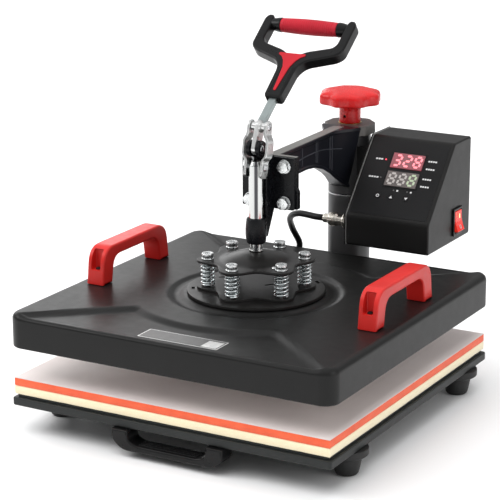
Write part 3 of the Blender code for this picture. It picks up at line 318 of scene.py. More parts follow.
WINDOW_RED = Look("window_red", (0.17, 0.07, 0.08), 0.25).glow((1.0, 0.16, 0.2), 0.14)
WINDOW_RED.color(WINDOW_RED.noise(60.0, 2.0), (0.11, 0.075, 0.08), (0.26, 0.06, 0.08))
WINDOW_RED = WINDOW_RED.mat
WINDOW_GREY = Look("window_grey", (0.16, 0.12, 0.115), 0.22)
WINDOW_GREY.color(WINDOW_GREY.noise(60.0, 2.0), (0.085, 0.075, 0.072), (0.14, 0.12, 0.115))
WINDOW_GREY = WINDOW_GREY.mat
DIGIT_LIT = Look("digit_lit", (0.85, 0.22, 0.25), 0.4).glow((1.0, 0.24, 0.28), 0.75).mat
DIGIT_OFF = Look("digit_off", (0.42, 0.39, 0.37), 0.4).mat
DIGIT_GREEN = Look("digit_green", (0.4, 0.46, 0.33), 0.4).glow((0.4, 1.0, 0.3), 0.05).mat
LED_RED = Look("led_red", (0.8, 0.05, 0.08), 0.2).glow((1.0, 0.08, 0.12), 1.2).mat
LED_OFF = Look("led_off", (0.12, 0.12, 0.12), 0.2).mat
rocker = Look("rocker_red", (0.72, 0.015, 0.015), 0.16).glow((1.0, 0.06, 0.02), 0.25)
rocker.color(rocker.noise(70.0, 2.0), (0.6, 0.012, 0.012), (0.8, 0.02, 0.018))
ROCKER_RED = rocker.mat
ROCKER_MARK = Look("rocker_mark", (1.0, 0.55, 0.3), 0.3).glow((1.0, 0.5, 0.2), 2.0).mat


# ---------------------------------------------------------------- mesh helpers


def link(obj):
    bpy.context.scene.collection.objects.link(obj)
    return obj


def spin(degrees, axis):
    return Matrix.Rotation(math.radians(degrees), 4, axis)


def mirrored(points):
    """Points on the +X side and then their mirror images, back to the start."""
    return points + [(-x, y) for x, y in reversed(points)]


def paint(node, mat):
    """Gives a CAD node that stays visible its material."""
    NODES[node].data.materials.clear()
    NODES[node].data.materials.append(mat)


def new_object(name, bm, mat, angle=32.0):
    mesh = bpy.data.meshes.new(name)
    bmesh.ops.remove_doubles(bm, verts=bm.verts, dist=1e-6)
    bmesh.ops.recalc_face_normals(bm, faces=bm.faces)
    bm.to_mesh(mesh)
    bm.free()
    obj = link(bpy.data.objects.new(name, mesh))
    mesh.materials.append(mat)
    mesh.shade_smooth()
    mesh.set_sharp_from_angle(angle=math.radians(angle))
    return obj


def put(obj, body, *nodes, slot=None):
    """Rides a finished piece on a body, and hides the CAD nodes it stands for."""
    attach(obj, body)
    if nodes:
        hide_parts(*nodes)
    return obj


def grid_faces(bm, rings):
    """Faces between closed rows of vertices of equal length."""
    count = len(rings[0])
    for a, b in zip(rings, rings[1:]):
        for i in range(count):
            j = (i + 1) % count
            quad = [a[i], a[j], b[j], b[i]]
            seen = []
            for v in quad:
                if v not in seen:
                    seen.append(v)
            if len(seen) > 2:
                try:
                    bm.faces.new(seen)
                except ValueError:
                    pass


def cap(bm, ring):
    if len(ring) > 2:
        bm.faces.new(ring)


def turned(name, profile, place, mat, steps=48, shape=None, turn=None, angle=32.0):
    """A solid of revolution from (radius, height) points, listed from top to bottom.
    shape(angle, radius, index) may change the radius, for lobes and flats."""
    bm = bmesh.new()
    rings = []
    for k, (radius, height) in enumerate(profile):
        if radius < 1e-6:
            centre = bm.verts.new((0.0, 0.0, height))
            rings.append([centre] * steps)
            continue
        ring = []
        for i in range(steps):
            a = math.tau * i / steps
            r = shape(a, radius, k) if shape else radius
            h = height
            if isinstance(r, tuple):
                r, h = r
            ring.append(bm.verts.new((r * math.cos(a), r * math.sin(a), h)))
        rings.append(ring)
    grid_faces(bm, rings)
    if profile[0][0] > 1e-6 and profile[-1][0] > 1e-6 and profile[0] != profile[-1]:
        grid_faces(bm, [rings[-1], rings[0]])
    obj = new_object(name, bm, mat, angle)
    obj.matrix_world = Matrix.Translation(place) @ (turn or Matrix.Identity(4))
    return obj


def soften(profile, radius, steps=3):
    """The same profile with its inner corners rounded, for turned pieces."""
    points = [Vector(p) for p in profile]
    out = [points[0]]
    for a, b, c in zip(points, points[1:], points[2:]):
        u, w = (a - b), (c - b)
        reach = min(radius, u.length * 0.45, w.length * 0.45)
        if reach < 1e-5 or abs(u.normalized().dot(w.normalized())) > 0.985:
            out.append(b)
            continue
        start, end = b + u.normalized() * reach, b + w.normalized() * reach
        for i in range(steps + 1):
            t = i / steps
            out.append(start * (1 - t) ** 2 + b * 2 * t * (1 - t) + end * t * t)
    out.append(points[-1])
    return [(max(0.0, p.x), p.y) for p in out]


def rounded(outline, radius, steps=5):
    """A closed outline with its corners rounded; radius may be a list, one per corner."""
    count = len(outline)
    out = []
    for i in range(count):
        r = radius[i] if isinstance(radius, (list, tuple)) else radius
        a, b, c = (Vector(outline[(i + k) % count]) for k in (-1, 0, 1))
        u, w = a - b, c - b
        reach = min(r, u.length * 0.49, w.length * 0.49)
        if reach < 1e-5:
            out.append(tuple(b))
            continue
        start, end = b + u.normalized() * reach, b + w.normalized() * reach
        for k in range(steps + 1):
            t = k / steps
            out.append(tuple(start * (1 - t) ** 2 + b * 2 * t * (1 - t) + end * t * t))
    return out


FLAT = Matrix.Identity(4)
SIDE = Matrix(((0, 0, 1, 0), (1, 0, 0, 0), (0, 1, 0, 0), (0, 0, 0, 1)))
FRONT = Matrix(((1, 0, 0, 0), (0, 0, -1, 0), (0, 1, 0, 0), (0, 0, 0, 1)))


def plate(name, outlines, thickness, place, mat, turn=FLAT, edge=0.0008, steps=2, angle=32.0):
    """A flat piece with softened edges from closed outlines, the first outside, the rest
    holes.  FLAT reads points as x, y; SIDE as y, z; FRONT as x, z."""
    curve = bpy.data.curves.new(name, "CURVE")
    curve.dimensions = "2D"
    curve.fill_mode = "BOTH"
    curve.extrude = max(thickness / 2 - edge, 0.00001)
    curve.bevel_depth = edge
    curve.bevel_resolution = steps
    curve.offset = -edge
    for outline in outlines:
        spline = curve.splines.new("POLY")
        spline.points.add(len(outline) - 1)
        for point, (u, v) in zip(spline.points, outline):
            point.co = (u, v, 0.0, 1.0)
        spline.use_cyclic_u = True
    shape = link(bpy.data.objects.new(name + "_curve", curve))
    graph = bpy.context.evaluated_depsgraph_get()
    mesh = bpy.data.meshes.new_from_object(shape.evaluated_get(graph))
    bpy.data.objects.remove(shape, do_unlink=True)
    bm = bmesh.new()
    bm.from_mesh(mesh)
    bpy.data.meshes.remove(mesh)
    obj = new_object(name, bm, mat, angle)
    obj.matrix_world = Matrix.Translation(place) @ turn
    return obj


def cut(obj, cutter):
    """Takes the cutter out of a finished piece, and removes the cutter."""
    modifier = obj.modifiers.new("cut", "BOOLEAN")
    modifier.operation = "DIFFERENCE"
    modifier.object = cutter
    modifier.solver = "EXACT"
    bpy.context.view_layer.update()
    graph = bpy.context.evaluated_depsgraph_get()
    mesh = bpy.data.meshes.new_from_object(obj.evaluated_get(graph))
    obj.modifiers.clear()
    obj.data = mesh
    bpy.data.objects.remove(cutter, do_unlink=True)
    obj.data.shade_smooth()
    obj.data.set_sharp_from_angle(angle=math.radians(32.0))


def joined(name, objs):
    """Several shapes of one piece as a single mesh, in world coordinates."""
    bm = bmesh.new()
    mats = []
    for obj in objs:
        mesh = obj.data.copy()
        mesh.transform(obj.matrix_world)
        index = []
        for mat in obj.data.materials:
            if mat not in mats:
                mats.append(mat)
            index.append(mats.index(mat))
        for face in mesh.polygons:
            face.material_index = index[face.material_index] if index else 0
        bm.from_mesh(mesh)
        bpy.data.meshes.remove(mesh)
        bpy.data.objects.remove(obj, do_unlink=True)
    mesh = bpy.data.meshes.new(name)
    bm.to_mesh(mesh)
    bm.free()
    for mat in mats:
        mesh.materials.append(mat)
    return link(bpy.data.objects.new(name, mesh))


def block(name, low, high, mat, edge=0.0008, turn=FLAT):
    """A box with softened edges all round."""
    low, high = Vector(low), Vector(high)
    bm = bmesh.new()
    bmesh.ops.create_cube(bm, size=1.0)
    bmesh.ops.scale(bm, vec=high - low, verts=bm.verts)
    if edge:
        bmesh.ops.bevel(bm, geom=list(bm.edges), offset=edge, segments=3, profile=0.5, affect="EDGES")
    obj = new_object(name, bm, mat, 40.0)
    obj.matrix_world = turn @ Matrix.Translation((low + high) / 2)
    return obj


def sweep(name, path, section, mat, angle=32.0):
    """A section of (side, up) points carried along a path of world points."""
    path = [Vector(p) for p in path]
    bm = bmesh.new()
    rings = []
    side = None
    for i, p in enumerate(path):
        ahead = path[min(i + 1, len(path) - 1)] - path[max(i - 1, 0)]
        ahead.normalize()
        if side is None:
            side = ahead.cross(Vector((0.0, 0.0, 1.0)))
            if side.length < 1e-4:
                side = ahead.cross(Vector((1.0, 0.0, 0.0)))
        side = (side - ahead * side.dot(ahead)).normalized()
        top = side.cross(ahead)
        rings.append([bm.verts.new(p + side * u + top * v) for u, v in section])
    grid_faces(bm, rings)
    cap(bm, rings[0])
    cap(bm, rings[-1])
    return new_object(name, bm, mat, angle)


def smoothed(points, count):
    """Even points along a smooth curve through the given ones."""
    pts = [Vector(p) for p in points]
    padded = [2 * pts[0] - pts[1], *pts, 2 * pts[-1] - pts[-2]]
    samples = []
    for i in range(len(pts) - 1):
        p0, p1, p2, p3 = padded[i : i + 4]
        for step in range(20):
            t = step / 20
            b, c = p2 - p0, 2 * p0 - 5 * p1 + 4 * p2 - p3
            d = 3 * p1 - p0 - 3 * p2 + p3
            samples.append((2 * p1 + b * t + c * t * t + d * t**3) / 2)
    samples.append(pts[-1])
    total = [0.0]
    for a, b in zip(samples, samples[1:]):
        total.append(total[-1] + (b - a).length)
    route, k = [], 0
    for i in range(count):
        target = total[-1] * i / (count - 1)
        while k < len(samples) - 2 and total[k + 1] < target:
            k += 1
        route.append(samples[k].lerp(samples[k + 1], (target - total[k]) / (total[k + 1] - total[k])))
    return route


def circle(u, v, radius, steps=24):
    return [(u + radius * math.cos(math.tau * i / steps), v + radius * math.sin(math.tau * i / steps))
        for i in range(steps)]


def arc(u, v, radius, first, last, steps):
    out = []
    for i in range(steps + 1):
        a = math.radians(first + (last - first) * i / steps)
        out.append((u + radius * math.cos(a), v + radius * math.sin(a)))
    return out


def rect(x0, y0, x1, y1, radius=0.0):
    outline = [(x0, y0), (x1, y0), (x1, y1), (x0, y1)]
    return rounded(outline, radius) if radius else outline


def hexagon(a, radius):
    """How far a hexagon's outline is at angle a, where radius is to its flats."""
    near = (a + math.pi / 6) % (math.pi / 3) - math.pi / 6
    return radius / math.cos(near)


def screw_head(name, tall, crown, rim, place, mat, turn=None):
    """A low domed head, from its height and the (radius, height) of its crown and rim."""
    profile = [(0.0, tall), crown, rim, (rim[0], 0.0), (0.0, 0.0)]
    return turned(name, soften(profile, 0.0004), place, mat, 24, turn=turn)


def bolt(name, place, mat, size=0.0063, tall=0.0055, washer=0.0078, turn=None):
    """A hexagon head on a washer, standing on its seat at local Z = 0."""
    def flats(a, radius, k):
        r = hexagon(a, size)
        if k == 2:
            return (r, washer_top + tall - (r - size) * 0.62)
        if k in (3, 4):
            return r
        return radius
    washer_top = 0.0013
    ring = turned(name + "_washer", soften([(0.0, washer_top), (washer, washer_top), (washer, 0.0),
        (0.0, 0.0)], 0.0003), (0, 0, 0), mat, 48)
    head = turned(name + "_head", [(0.0, washer_top + tall), (size * 0.94, washer_top + tall),
        (size, washer_top + tall), (size, washer_top + 0.0004), (size, washer_top)], (0, 0, 0), mat,
        48, flats, angle=24.0)
    whole = Matrix.Translation(place) @ (turn or FLAT)
    for o in (ring, head):
        o.matrix_world = whole @ o.matrix_world
    return joined(name, [ring, head])


# ---------------------------------------------------------------- bed

half = 0.1925
tongue = 0.055
reach = 0.261
outline = rounded([(-half, -half), (half, -half), (half, half), (tongue, half), (tongue, reach),
    (-tongue, reach), (-tongue, half), (-half, half)], [0.004, 0.004, 0.004, 0.003, 0.006, 0.006,
    0.003, 0.004])
lip = plate("base_lip", [outline], 0.009, at(0, 0, -0.0045), BASE_PAINT, edge=0.0014, steps=3)
tray = plate("base_tray", [rect(-0.1885, -0.1885, 0.1885, 0.1885, 0.004)], 0.0036, at(0, 0, 0.0012),
    BASE_PAINT, edge=0.0008)
put(joined("base_plate_skin", [lip, tray]), "bed", "base_plate", slot="black_paint")
for number, (x, y) in enumerate([(-0.043, 0.21), (0.043, 0.21), (-0.043, 0.249), (0.043, 0.249)],
        start=1):
    put(bolt(f"post_bolt_{number}", at(x, y, 0.0), ZINC, 0.005, 0.004, 0.0068), "bed", slot="zinc")


def pad_mesh(name, bottom, top, mat, edge, wobble):
    """A square layer with softened edges and slightly uneven sides."""
    side, steps = 0.19, 48
    ring = []
    for k in range(4):
        for i in range(steps):
            t = -1 + 2 * i / steps
            x, y = [(t, -1), (1, t), (-t, 1), (-1, -t)][k]
            ring.append((x * side, y * side))
    levels = [(bottom, edge), (bottom + edge * 0.4, edge * 0.3), (bottom + edge, 0.0),
        ((bottom + top) / 2, 0.0), (top - edge, 0.0), (top - edge * 0.4, edge * 0.3), (top, edge)]
    bm = bmesh.new()
    rings = []
    for level, inset in levels:
        row = []
        for i, (x, y) in enumerate(ring):
            wave = wobble * (math.sin(i * 0.9) * 0.5 + math.sin(i * 2.3 + level * 400) * 0.5)
            k = 1 - (inset + max(0.0, wave)) / side
            row.append(bm.verts.new(at(x * k, y * k, level)))
        rings.append(row)
    grid_faces(bm, rings)
    cap(bm, rings[0])
    cap(bm, rings[-1])
    return new_object(name, bm, mat, 50.0)


felt_piece = pad_mesh("felt_layer", 0.0033, 0.0129, FELT, 0.0009, 0.0003)
put(felt_piece, "bed", "felt_pad", slot="cream_felt")
silicone_piece = pad_mesh("silicone_layer", 0.0131, 0.0213, SILICONE, 0.0004, 0.0)
put(silicone_piece, "bed", "silicone_pad", slot="orange_silicone")
sheet_piece = pad_mesh("top_sheet", 0.02145, 0.022, CLOTH, 0.00012, 0.0)
put(sheet_piece, "bed", "pad_cloth", slot="pale_cloth")

for node in ("foot_front_left", "foot_front_right", "foot_rear_left", "foot_rear_right"):
    low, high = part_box(node)
    middle = (low + high) / 2
    top = high.z
    profile = soften([(0.0, top), (0.0225, top), (0.0225, top - 0.0072), (0.0196, top - 0.0092),
        (0.0168, top - 0.0098), (0.0158, top - 0.011), (0.013, 0.005), (0.012, 0.0016), (0.01, 0.0),
        (0.0, 0.0)], 0.001)
    put(turned(node + "_bumper", profile, (middle.x, middle.y, 0.0), FOOT_RUBBER, 64), "bed", node,
        slot="rubber")

# Carrying handle under the front edge: a U with a ribbed bar.
low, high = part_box("carry_handle")
cx, depth = (low.x + high.x) / 2, high.y - low.y
top, bottom = high.z, low.z
half_w = (high.x - low.x) / 2
bar = 0.015
outer = rounded([(-half_w, top), (-half_w, top - 0.012), (-half_w + 0.012, bottom),
    (half_w - 0.012, bottom), (half_w, top - 0.012), (half_w, top), (half_w - 0.02, top),
    (half_w - 0.02, bar + 0.004), (half_w - 0.03, bar), (-half_w + 0.03, bar),
    (-half_w + 0.02, bar + 0.004), (-half_w + 0.02, top)], [0.001, 0.009, 0.011, 0.011, 0.009, 0.001,
    0.001, 0.006, 0.006, 0.006, 0.006, 0.001])
carry = plate("carry_bar", [outer], depth, (cx, (low.y + high.y) / 2, 0.0), BLACK_PLASTIC, FRONT,
    edge=0.0022, steps=3)
parts = [carry]
for k in range(4):
    y = low.y + depth * (0.22 + 0.19 * k)
    parts.append(block(f"carry_rib_{k}", (cx - half_w + 0.032, y - 0.0011, bar - 0.0006),
        (cx + half_w - 0.032, y + 0.0011, bar + 0.0011), BLACK_PLASTIC, 0.0005))
put(joined("carry_grip", parts), "bed", "carry_handle", slot="black_plastic")

# Post: satin tube with a collar at its foot.
profile = soften([(0.0, 0.2335), (0.0165, 0.2335), (0.0165, 0.158), (0.0247, 0.158), (0.0247, 0.011),
    (0.0268, 0.0085), (0.0322, 0.008), (0.0322, 0.0003), (0.0, 0.0003)], 0.0008)
put(turned("post_tube", profile, at(0, POST_Y, 0), POST_PAINT, 96), "bed", "post", slot="black_paint")

# ---------------------------------------------------------------- platen cover


def smoothstep(x):
    x = min(1.0, max(0.0, x))
    return x * x * (3 - 2 * x)


def pressing(x, y):
    """Height of the pressed pattern in the cover's top: sunk front and rear panels between
    the diagonal creases, and a soft ring round the spring pack."""
    r = math.hypot(x, y)
    ax, ay = abs(x), abs(y)
    diagonal = ((ay - 0.109) * 0.094 - (ax - 0.086) * 0.078) / 0.1221
    inside = min(diagonal, r - 0.136)
    drop = -0.0038 * smoothstep(inside / 0.0105 + 0.25)
    ring = -0.0021 * smoothstep((0.0965 - r) / 0.0055) * smoothstep((r - 0.076) / 0.01)
    return drop + ring


def cover_outline(halfside, corner, per_side=44, per_corner=9):
    """Points with outward normals round a square with rounded corners."""
    points = []
    flat = halfside - corner
    for k in range(4):
        turn = Matrix.Rotation(math.pi / 2 * k, 2)
        for i in range(per_side):
            t = -flat + 2 * flat * i / per_side
            points.append((turn @ Vector((t, -halfside)), turn @ Vector((0.0, -1.0))))
        for i in range(per_corner):
            a = -math.pi / 2 + math.pi / 2 * i / per_corner
            n = Vector((math.cos(a), math.sin(a)))
            points.append((turn @ (Vector((flat, -flat)) + n * corner), turn @ n))
    return points


cover_half, cover_top, cover_bottom, fillet = 0.19475, 0.095, 0.0569, 0.0075
contour = cover_outline(cover_half, 0.0165)
bm = bmesh.new()
rings = []
shoulder = [p - n * fillet for p, n in contour]
levels = 96
for k in range(1, levels + 1):
    s = (k / levels) ** 0.85
    row = []
    for p in shoulder:
        x, y = p.x * s, p.y * s
        row.append(bm.verts.new(at(x, y, cover_top + pressing(x, y))))
    rings.append(row)
for k in range(1, 9):
    a = math.pi / 2 * k / 8
    row = []
    for (p, n), q in zip(contour, shoulder):
        sink = pressing(q.x, q.y) * (1 - k / 8)
        e = q + n * fillet * math.sin(a)
        row.append(bm.verts.new(at(e.x, e.y, cover_top - fillet * (1 - math.cos(a)) + sink)))
    rings.append(row)
for z, out in ((0.075, 0.0), (cover_bottom + 0.0016, 0.0), (cover_bottom + 0.0005, -0.0004),
        (cover_bottom, -0.0011), (cover_bottom + 0.0004, -0.0019), (0.072, -0.0021), (0.086, -0.003)):
    rings.append([bm.verts.new(at(p.x + n.x * out, p.y + n.y * out, z)) for p, n in contour])
grid_faces(bm, rings)
middle = bm.verts.new(at(0, 0, cover_top))
first = rings[0]
for i in range(len(first)):
    bm.faces.new([first[i], first[(i + 1) % len(first)], middle])
inner = bm.verts.new(at(0, 0, 0.09))
last = rings[-1]
for i in range(len(last)):
    bm.faces.new([last[(i + 1) % len(last)], last[i], inner])
cover = new_object("platen_shell", bm, COVER_PAINT, 60.0)
put(cover, "platen", "platen_cover", slot="black_paint")

paint("heater_plate", ALUMINIUM)
for node in NODES.values():
    node.data.shade_smooth()
    node.data.set_sharp_from_angle(angle=math.radians(32.0))

# Blank rating sticker on the front panel, lying on the sunk surface.
tag_z = cover_top - 0.0037
put(plate("blank_label", [rect(-0.037, -0.1835, 0.0575, -0.1575, 0.001)], 0.00025, at(0, 0, tag_z),
    LABEL_FOIL, edge=0.00005), "platen")
put(plate("blank_label_field", [rect(-0.0355, -0.1822, 0.0562, -0.1588, 0.0008),
    rect(0.037, -0.1812, 0.055, -0.1618, 0.0005)], 0.00012, at(0, 0, tag_z + 0.00022), LABEL_GREY,
    edge=0.00003), "platen")

# Red bridge handles with a screw pocket in each end.
for node, side in (("handle_left", -1.0), ("handle_right", 1.0)):
    low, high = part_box(node)
    mid = (low + high) / 2
    hl, tall = (high.y - low.y) / 2, high.z - low.z
    wide = high.x - low.x
    outline = [(-hl, 0.0), (-hl + 0.0195, 0.0), (-hl + 0.0245, tall - 0.0125),
        (hl - 0.0245, tall - 0.0125), (hl - 0.0195, 0.0), (hl, 0.0), (hl - 0.005, tall),
        (-hl + 0.005, tall)]
    outline = rounded(outline, [0.001, 0.001, 0.013, 0.013, 0.001, 0.001, 0.019, 0.019], 8)
    bridge = plate(node + "_bridge", [outline], wide, (mid.x, mid.y, low.z), RED_PLASTIC, SIDE,
        edge=0.0022, steps=3)
    for end in (-1.0, 1.0):
        y0 = mid.y + end * (hl - 0.0125)
        y1 = mid.y + end * (hl + 0.01)
        cutter = block("pocket", (mid.x - 0.006, min(y0, y1), low.z + 0.0165),
            (mid.x + 0.006, max(y0, y1), high.z - 0.003), RED_PLASTIC, 0.0016)
        cut(bridge, cutter)
    put(bridge, "platen", node, slot="red_plastic")
    for end in (-1.0, 1.0):
        put(screw_head(f"{node}_screw_{'f' if end < 0 else 'r'}", 0.0022, (0.0024, 0.002),
            (0.0034, 0.0008), (mid.x, mid.y + end * (hl - 0.0085), low.z + 0.0165), DARK), "platen")

# ---------------------------------------------------------------- spring pack

LOBE_MEAN, LOBE_SWING, RING = 0.0575, 0.0075, 0.0528


def lobed(limit):
    """Turned shape that swells round each spring bolt for the rows in limit."""
    def shape(a, radius, k):
        if k not in limit:
            return radius
        return radius + LOBE_SWING * math.cos(6.0 * (a - math.pi / 6))
    return shape


seat = [(0.0, 0.1025), (0.044, 0.1025), (LOBE_MEAN - 0.0008, 0.1025), (LOBE_MEAN - 0.0002, 0.1022),
    (LOBE_MEAN, 0.1016), (LOBE_MEAN, 0.0996), (0.0668, 0.0993), (0.0745, 0.0993), (0.0757, 0.0989),
    (0.076, 0.098), (0.076, 0.0962), (0.0752, 0.0954), (0.0, 0.0954)]
seat_obj = turned("spring_seat_plate", seat, at(0, 0, 0), FLANGE_PAINT, 180, lobed((2, 3, 4, 5)))
for x, y, z, length, tilt in ((-0.0475, 0.008, 0.1025, 0.012, 34), (0.0128, 0.009, 0.1025, 0.014, 58),
        (0.049, 0.0505, 0.0993, 0.01, 135), (-0.06, -0.034, 0.0993, 0.008, 120)):
    slot = block("slot", (-length / 2, -0.0017, -0.0016), (length / 2, 0.0017, 0.0016), DARK, 0.0)
    slot.matrix_world = Matrix.Translation(at(x, y, z)) @ spin(tilt, "Z")
    cut(seat_obj, slot)
put(seat_obj, "platen", "spring_seat", slot="black_paint")

dome = [(0.0, 0.1415), (0.008, 0.1414), (0.0155, 0.1402), (0.024, 0.1381), (0.03, 0.1361),
    (0.034, 0.1344), (0.0375, 0.1331), (0.0415, 0.1326), (0.048, 0.1326), (LOBE_MEAN - 0.0009, 0.1326),
    (LOBE_MEAN - 0.0002, 0.1323), (LOBE_MEAN, 0.1317), (LOBE_MEAN, 0.1305),
    (LOBE_MEAN - 0.0002, 0.1299), (LOBE_MEAN - 0.0009, 0.1296), (0.046, 0.1296), (0.036, 0.13),
    (0.024, 0.134), (0.009, 0.138), (0.0, 0.1382)]
put(turned("press_flange_plate", dome, at(0, 0, 0), FLANGE_PAINT, 180, lobed((9, 10, 11, 12, 13, 14))),
    "plunger", "press_flange", slot="black_paint")
put(screw_head("flange_screw", 0.002, (0.0022, 0.0018), (0.003, 0.0008), at(0.0365, -0.025, 0.1326),
    ZINC), "plunger", slot="zinc")

spring_low, spring_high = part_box("spring_1")
z0, z1 = spring_low.z, spring_high.z
wire, mean = 0.00125, 0.0068
for number in range(1, 7):
    a = math.radians(30.0 + 60.0 * (number - 1))
    bx, by = RING * math.cos(a), RING * math.sin(a)
    place = at(bx, by, 0)
    path = []
    turns, per = 6.5, 26
    for i in range(int(turns * per) + 1):
        t = i / per
        # Closed coils at both ends, open ones between them.
        if t < 1.0:
            h = 0.085 * t
        elif t > turns - 1.0:
            h = 1.0 - 0.085 * (turns - t)
        else:
            h = 0.085 + (1 - 0.17) * (t - 1.0) / (turns - 2.0)
        height = z0 + wire + (z1 - z0 - 2 * wire) * h
        path.append((place.x + mean * math.cos(t * math.tau + number),
            place.y + mean * math.sin(t * math.tau + number), height))
    coil = sweep(f"coil_{number}", path, circle(0, 0, wire, 8), SPRING_ZINC, angle=60.0)
    put(coil, "platen", f"spring_{number}", slot="zinc")
    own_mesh(coil)
    head = turned(f"spring_bolt_head_{number}", soften([(0.0, 0.1376), (0.0026, 0.1376),
        (0.0028, 0.1393), (0.006, 0.1394), (0.0066, 0.1387), (0.0066, 0.1368), (0.0057, 0.1345),
        (0.0057, 0.1336), (0.0068, 0.1335), (0.0068, 0.1329), (0.0, 0.1329)], 0.0003), at(bx, by, 0),
        ZINC, 48, lambda a, r, k: hexagon(a, r) if r < 0.0029 else r)
    shank = turned(f"spring_bolt_shank_{number}", soften([(0.0, 0.1332), (0.0031, 0.1332),
        (0.0031, 0.0999), (0.0, 0.0999)], 0.0002), at(bx, by, 0), ZINC, 20)
    put(joined(f"spring_bolt_{number}_detailed", [head, shank]), "platen", f"spring_bolt_{number}",
        slot="zinc")

# ---------------------------------------------------------------- plunger rod

rod_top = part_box("press_rod")[1].z - BED
profile = soften([(0.0, rod_top), (0.0052, rod_top - 0.0008), (0.0077, rod_top - 0.005),
    (0.0079, rod_top - 0.0075), (0.0079, 0.1512), (0.007, 0.1504), (0.007, 0.1438), (0.0078, 0.1434),
    (0.0078, 0.1419), (0.0, 0.1419)], 0.0004)
rod_obj = turned("press_rod_polished", profile, at(0, 0, 0), ROD_CHROME_PAINTED_REFLECTION, 64)
put(rod_obj, "plunger", "press_rod", slot="chrome")

# ---------------------------------------------------------------- toggle bracket

PIVOT_Z, LINK_Z = 0.2555, 0.235
flange = plate("bracket_flange", [rounded([(-0.032, 0.184), (0.032, 0.184), (0.032, 0.242),
    (-0.032, 0.242)], 0.0022)], 0.005, at(0, 0.0285, 0), CAST_PAINT, FRONT, edge=0.0007)
ear = [(0.0272, 0.185), (0.0272, 0.2415), (0.018, 0.252), *arc(0.0, PIVOT_Z, 0.009, 60.0, 270.0, 14),
    (0.009, PIVOT_Z - 0.0125), (0.009, 0.156), (0.0125, 0.156)]
ears = []
for side in (-1.0, 1.0):
    ears.append(plate(f"bracket_ear_{int(side)}", [ear], 0.0045, at(side * 0.00575, 0, 0), CAST_PAINT,
        SIDE, edge=0.0006))
core = [(0.027, 0.1855), (0.027, 0.24), (0.0155, 0.244), (0.0098, 0.242), (0.0095, 0.157),
    (0.0125, 0.157)]
ears.append(plate("bracket_core", [core], 0.008, at(0, 0, 0), CAST_PAINT, SIDE, edge=0.0003))
sleeve = soften([(0.0083, 0.1787), (0.0098, 0.1787), (0.0106, 0.1775), (0.0113, 0.172),
    (0.0117, 0.1655), (0.0115, 0.159), (0.0106, 0.152), (0.0094, 0.1504), (0.0083, 0.1504)], 0.0006)
ears.append(turned("bracket_sleeve", sleeve, at(0, 0, 0), CAST_PAINT, 64))
put(joined("toggle_bracket", [flange, *ears]), "arm", "toggle_base", slot="black_paint")

number = 0
tip = spin(90.0, "X")
for z in (0.1915, 0.2325):
    for x in (-0.021, 0.021):
        number += 1
        head = bolt(f"flange_bolt_{number}", at(x, 0.0257, z), ZINC, 0.0062, 0.005, 0.0078,
            tip @ Matrix.Rotation(0.3 * number, 4, "Z"))
        shank = turned(f"flange_bolt_shank_{number}", [(0.0, 0.0), (0.0031, 0.0), (0.0031, -0.0168),
            (0.0, -0.0168)], at(x, 0.0257, z), ZINC, 16, turn=tip)
        nut = turned(f"flange_bolt_nut_{number}", soften([(0.0, -0.0131), (0.0058, -0.0131),
            (0.0058, -0.016), (0.0, -0.016)], 0.0004), at(x, 0.0257, z), ZINC, 48, lambda a, r,
            k: hexagon(a, r), tip)
        put(joined(f"toggle_bolt_{number}_detailed", [head, shank, nut]), "arm",
            f"toggle_bolt_{number}", slot="zinc")

pin = turned("pivot_pin", soften([(0.0, 0.0088), (0.003, 0.0086), (0.0042, 0.0079), (0.0042, -0.0079),
    (0.003, -0.0086), (0.0, -0.0088)], 0.0004), at(0, 0, PIVOT_Z), STEEL, 32, turn=spin(90.0, "Y"))
put(pin, "arm", "lever_pin", slot="steel")

# ---------------------------------------------------------------- lever

CRANK, CRANK_LEAN, LEVER_LEAN = 0.024, math.radians(21.0), math.radians(52.0)
crank = at(0.0, CRANK * math.sin(CRANK_LEAN), PIVOT_Z + CRANK * math.cos(CRANK_LEAN))
along = Vector((0.0, math.sin(LEVER_LEAN), math.cos(LEVER_LEAN)))
right = Vector((1.0, 0.0, 0.0))
LEVER = Matrix((right, along, right.cross(along))).transposed().to_4x4()
LEVER.translation = crank

cy, cz = CRANK * math.sin(CRANK_LEAN), CRANK * math.cos(CRANK_LEAN)
lean = math.degrees(CRANK_LEAN)
blade = plate("lever_blade", [[*arc(0, 0, 0.007, 180 - lean, 360 - lean, 12),
    *arc(cy, cz, 0.007, -lean, 180 - lean, 12)]], 0.005, at(0, 0, PIVOT_Z), LINK_STEEL, SIDE,
    edge=0.0006)
turn_x = spin(90.0, "Y")
boss = turned("lever_boss", soften([(0.0, 0.0085), (0.0042, 0.0085), (0.0046, 0.008), (0.0046, 0.0042),
    (0.0064, 0.0034), (0.0064, -0.0034), (0.0046, -0.0042), (0.0046, -0.008), (0.0042, -0.0085),
    (0.0, -0.0085)], 0.0004), crank, LINK_STEEL, 40, turn=turn_x)
shank = plate("lever_shank", [rounded([(-0.0045, 0.0), (0.0045, 0.0), (0.0045, 0.064),
    (-0.0045, 0.064)], 0.0012)], 0.0062, (0, 0, 0), LEVER_STEEL, edge=0.0009)
shank.matrix_world = LEVER
put(joined("lever_bar_detailed", [blade, boss, shank]), "lever", "lever_bar", slot="steel")

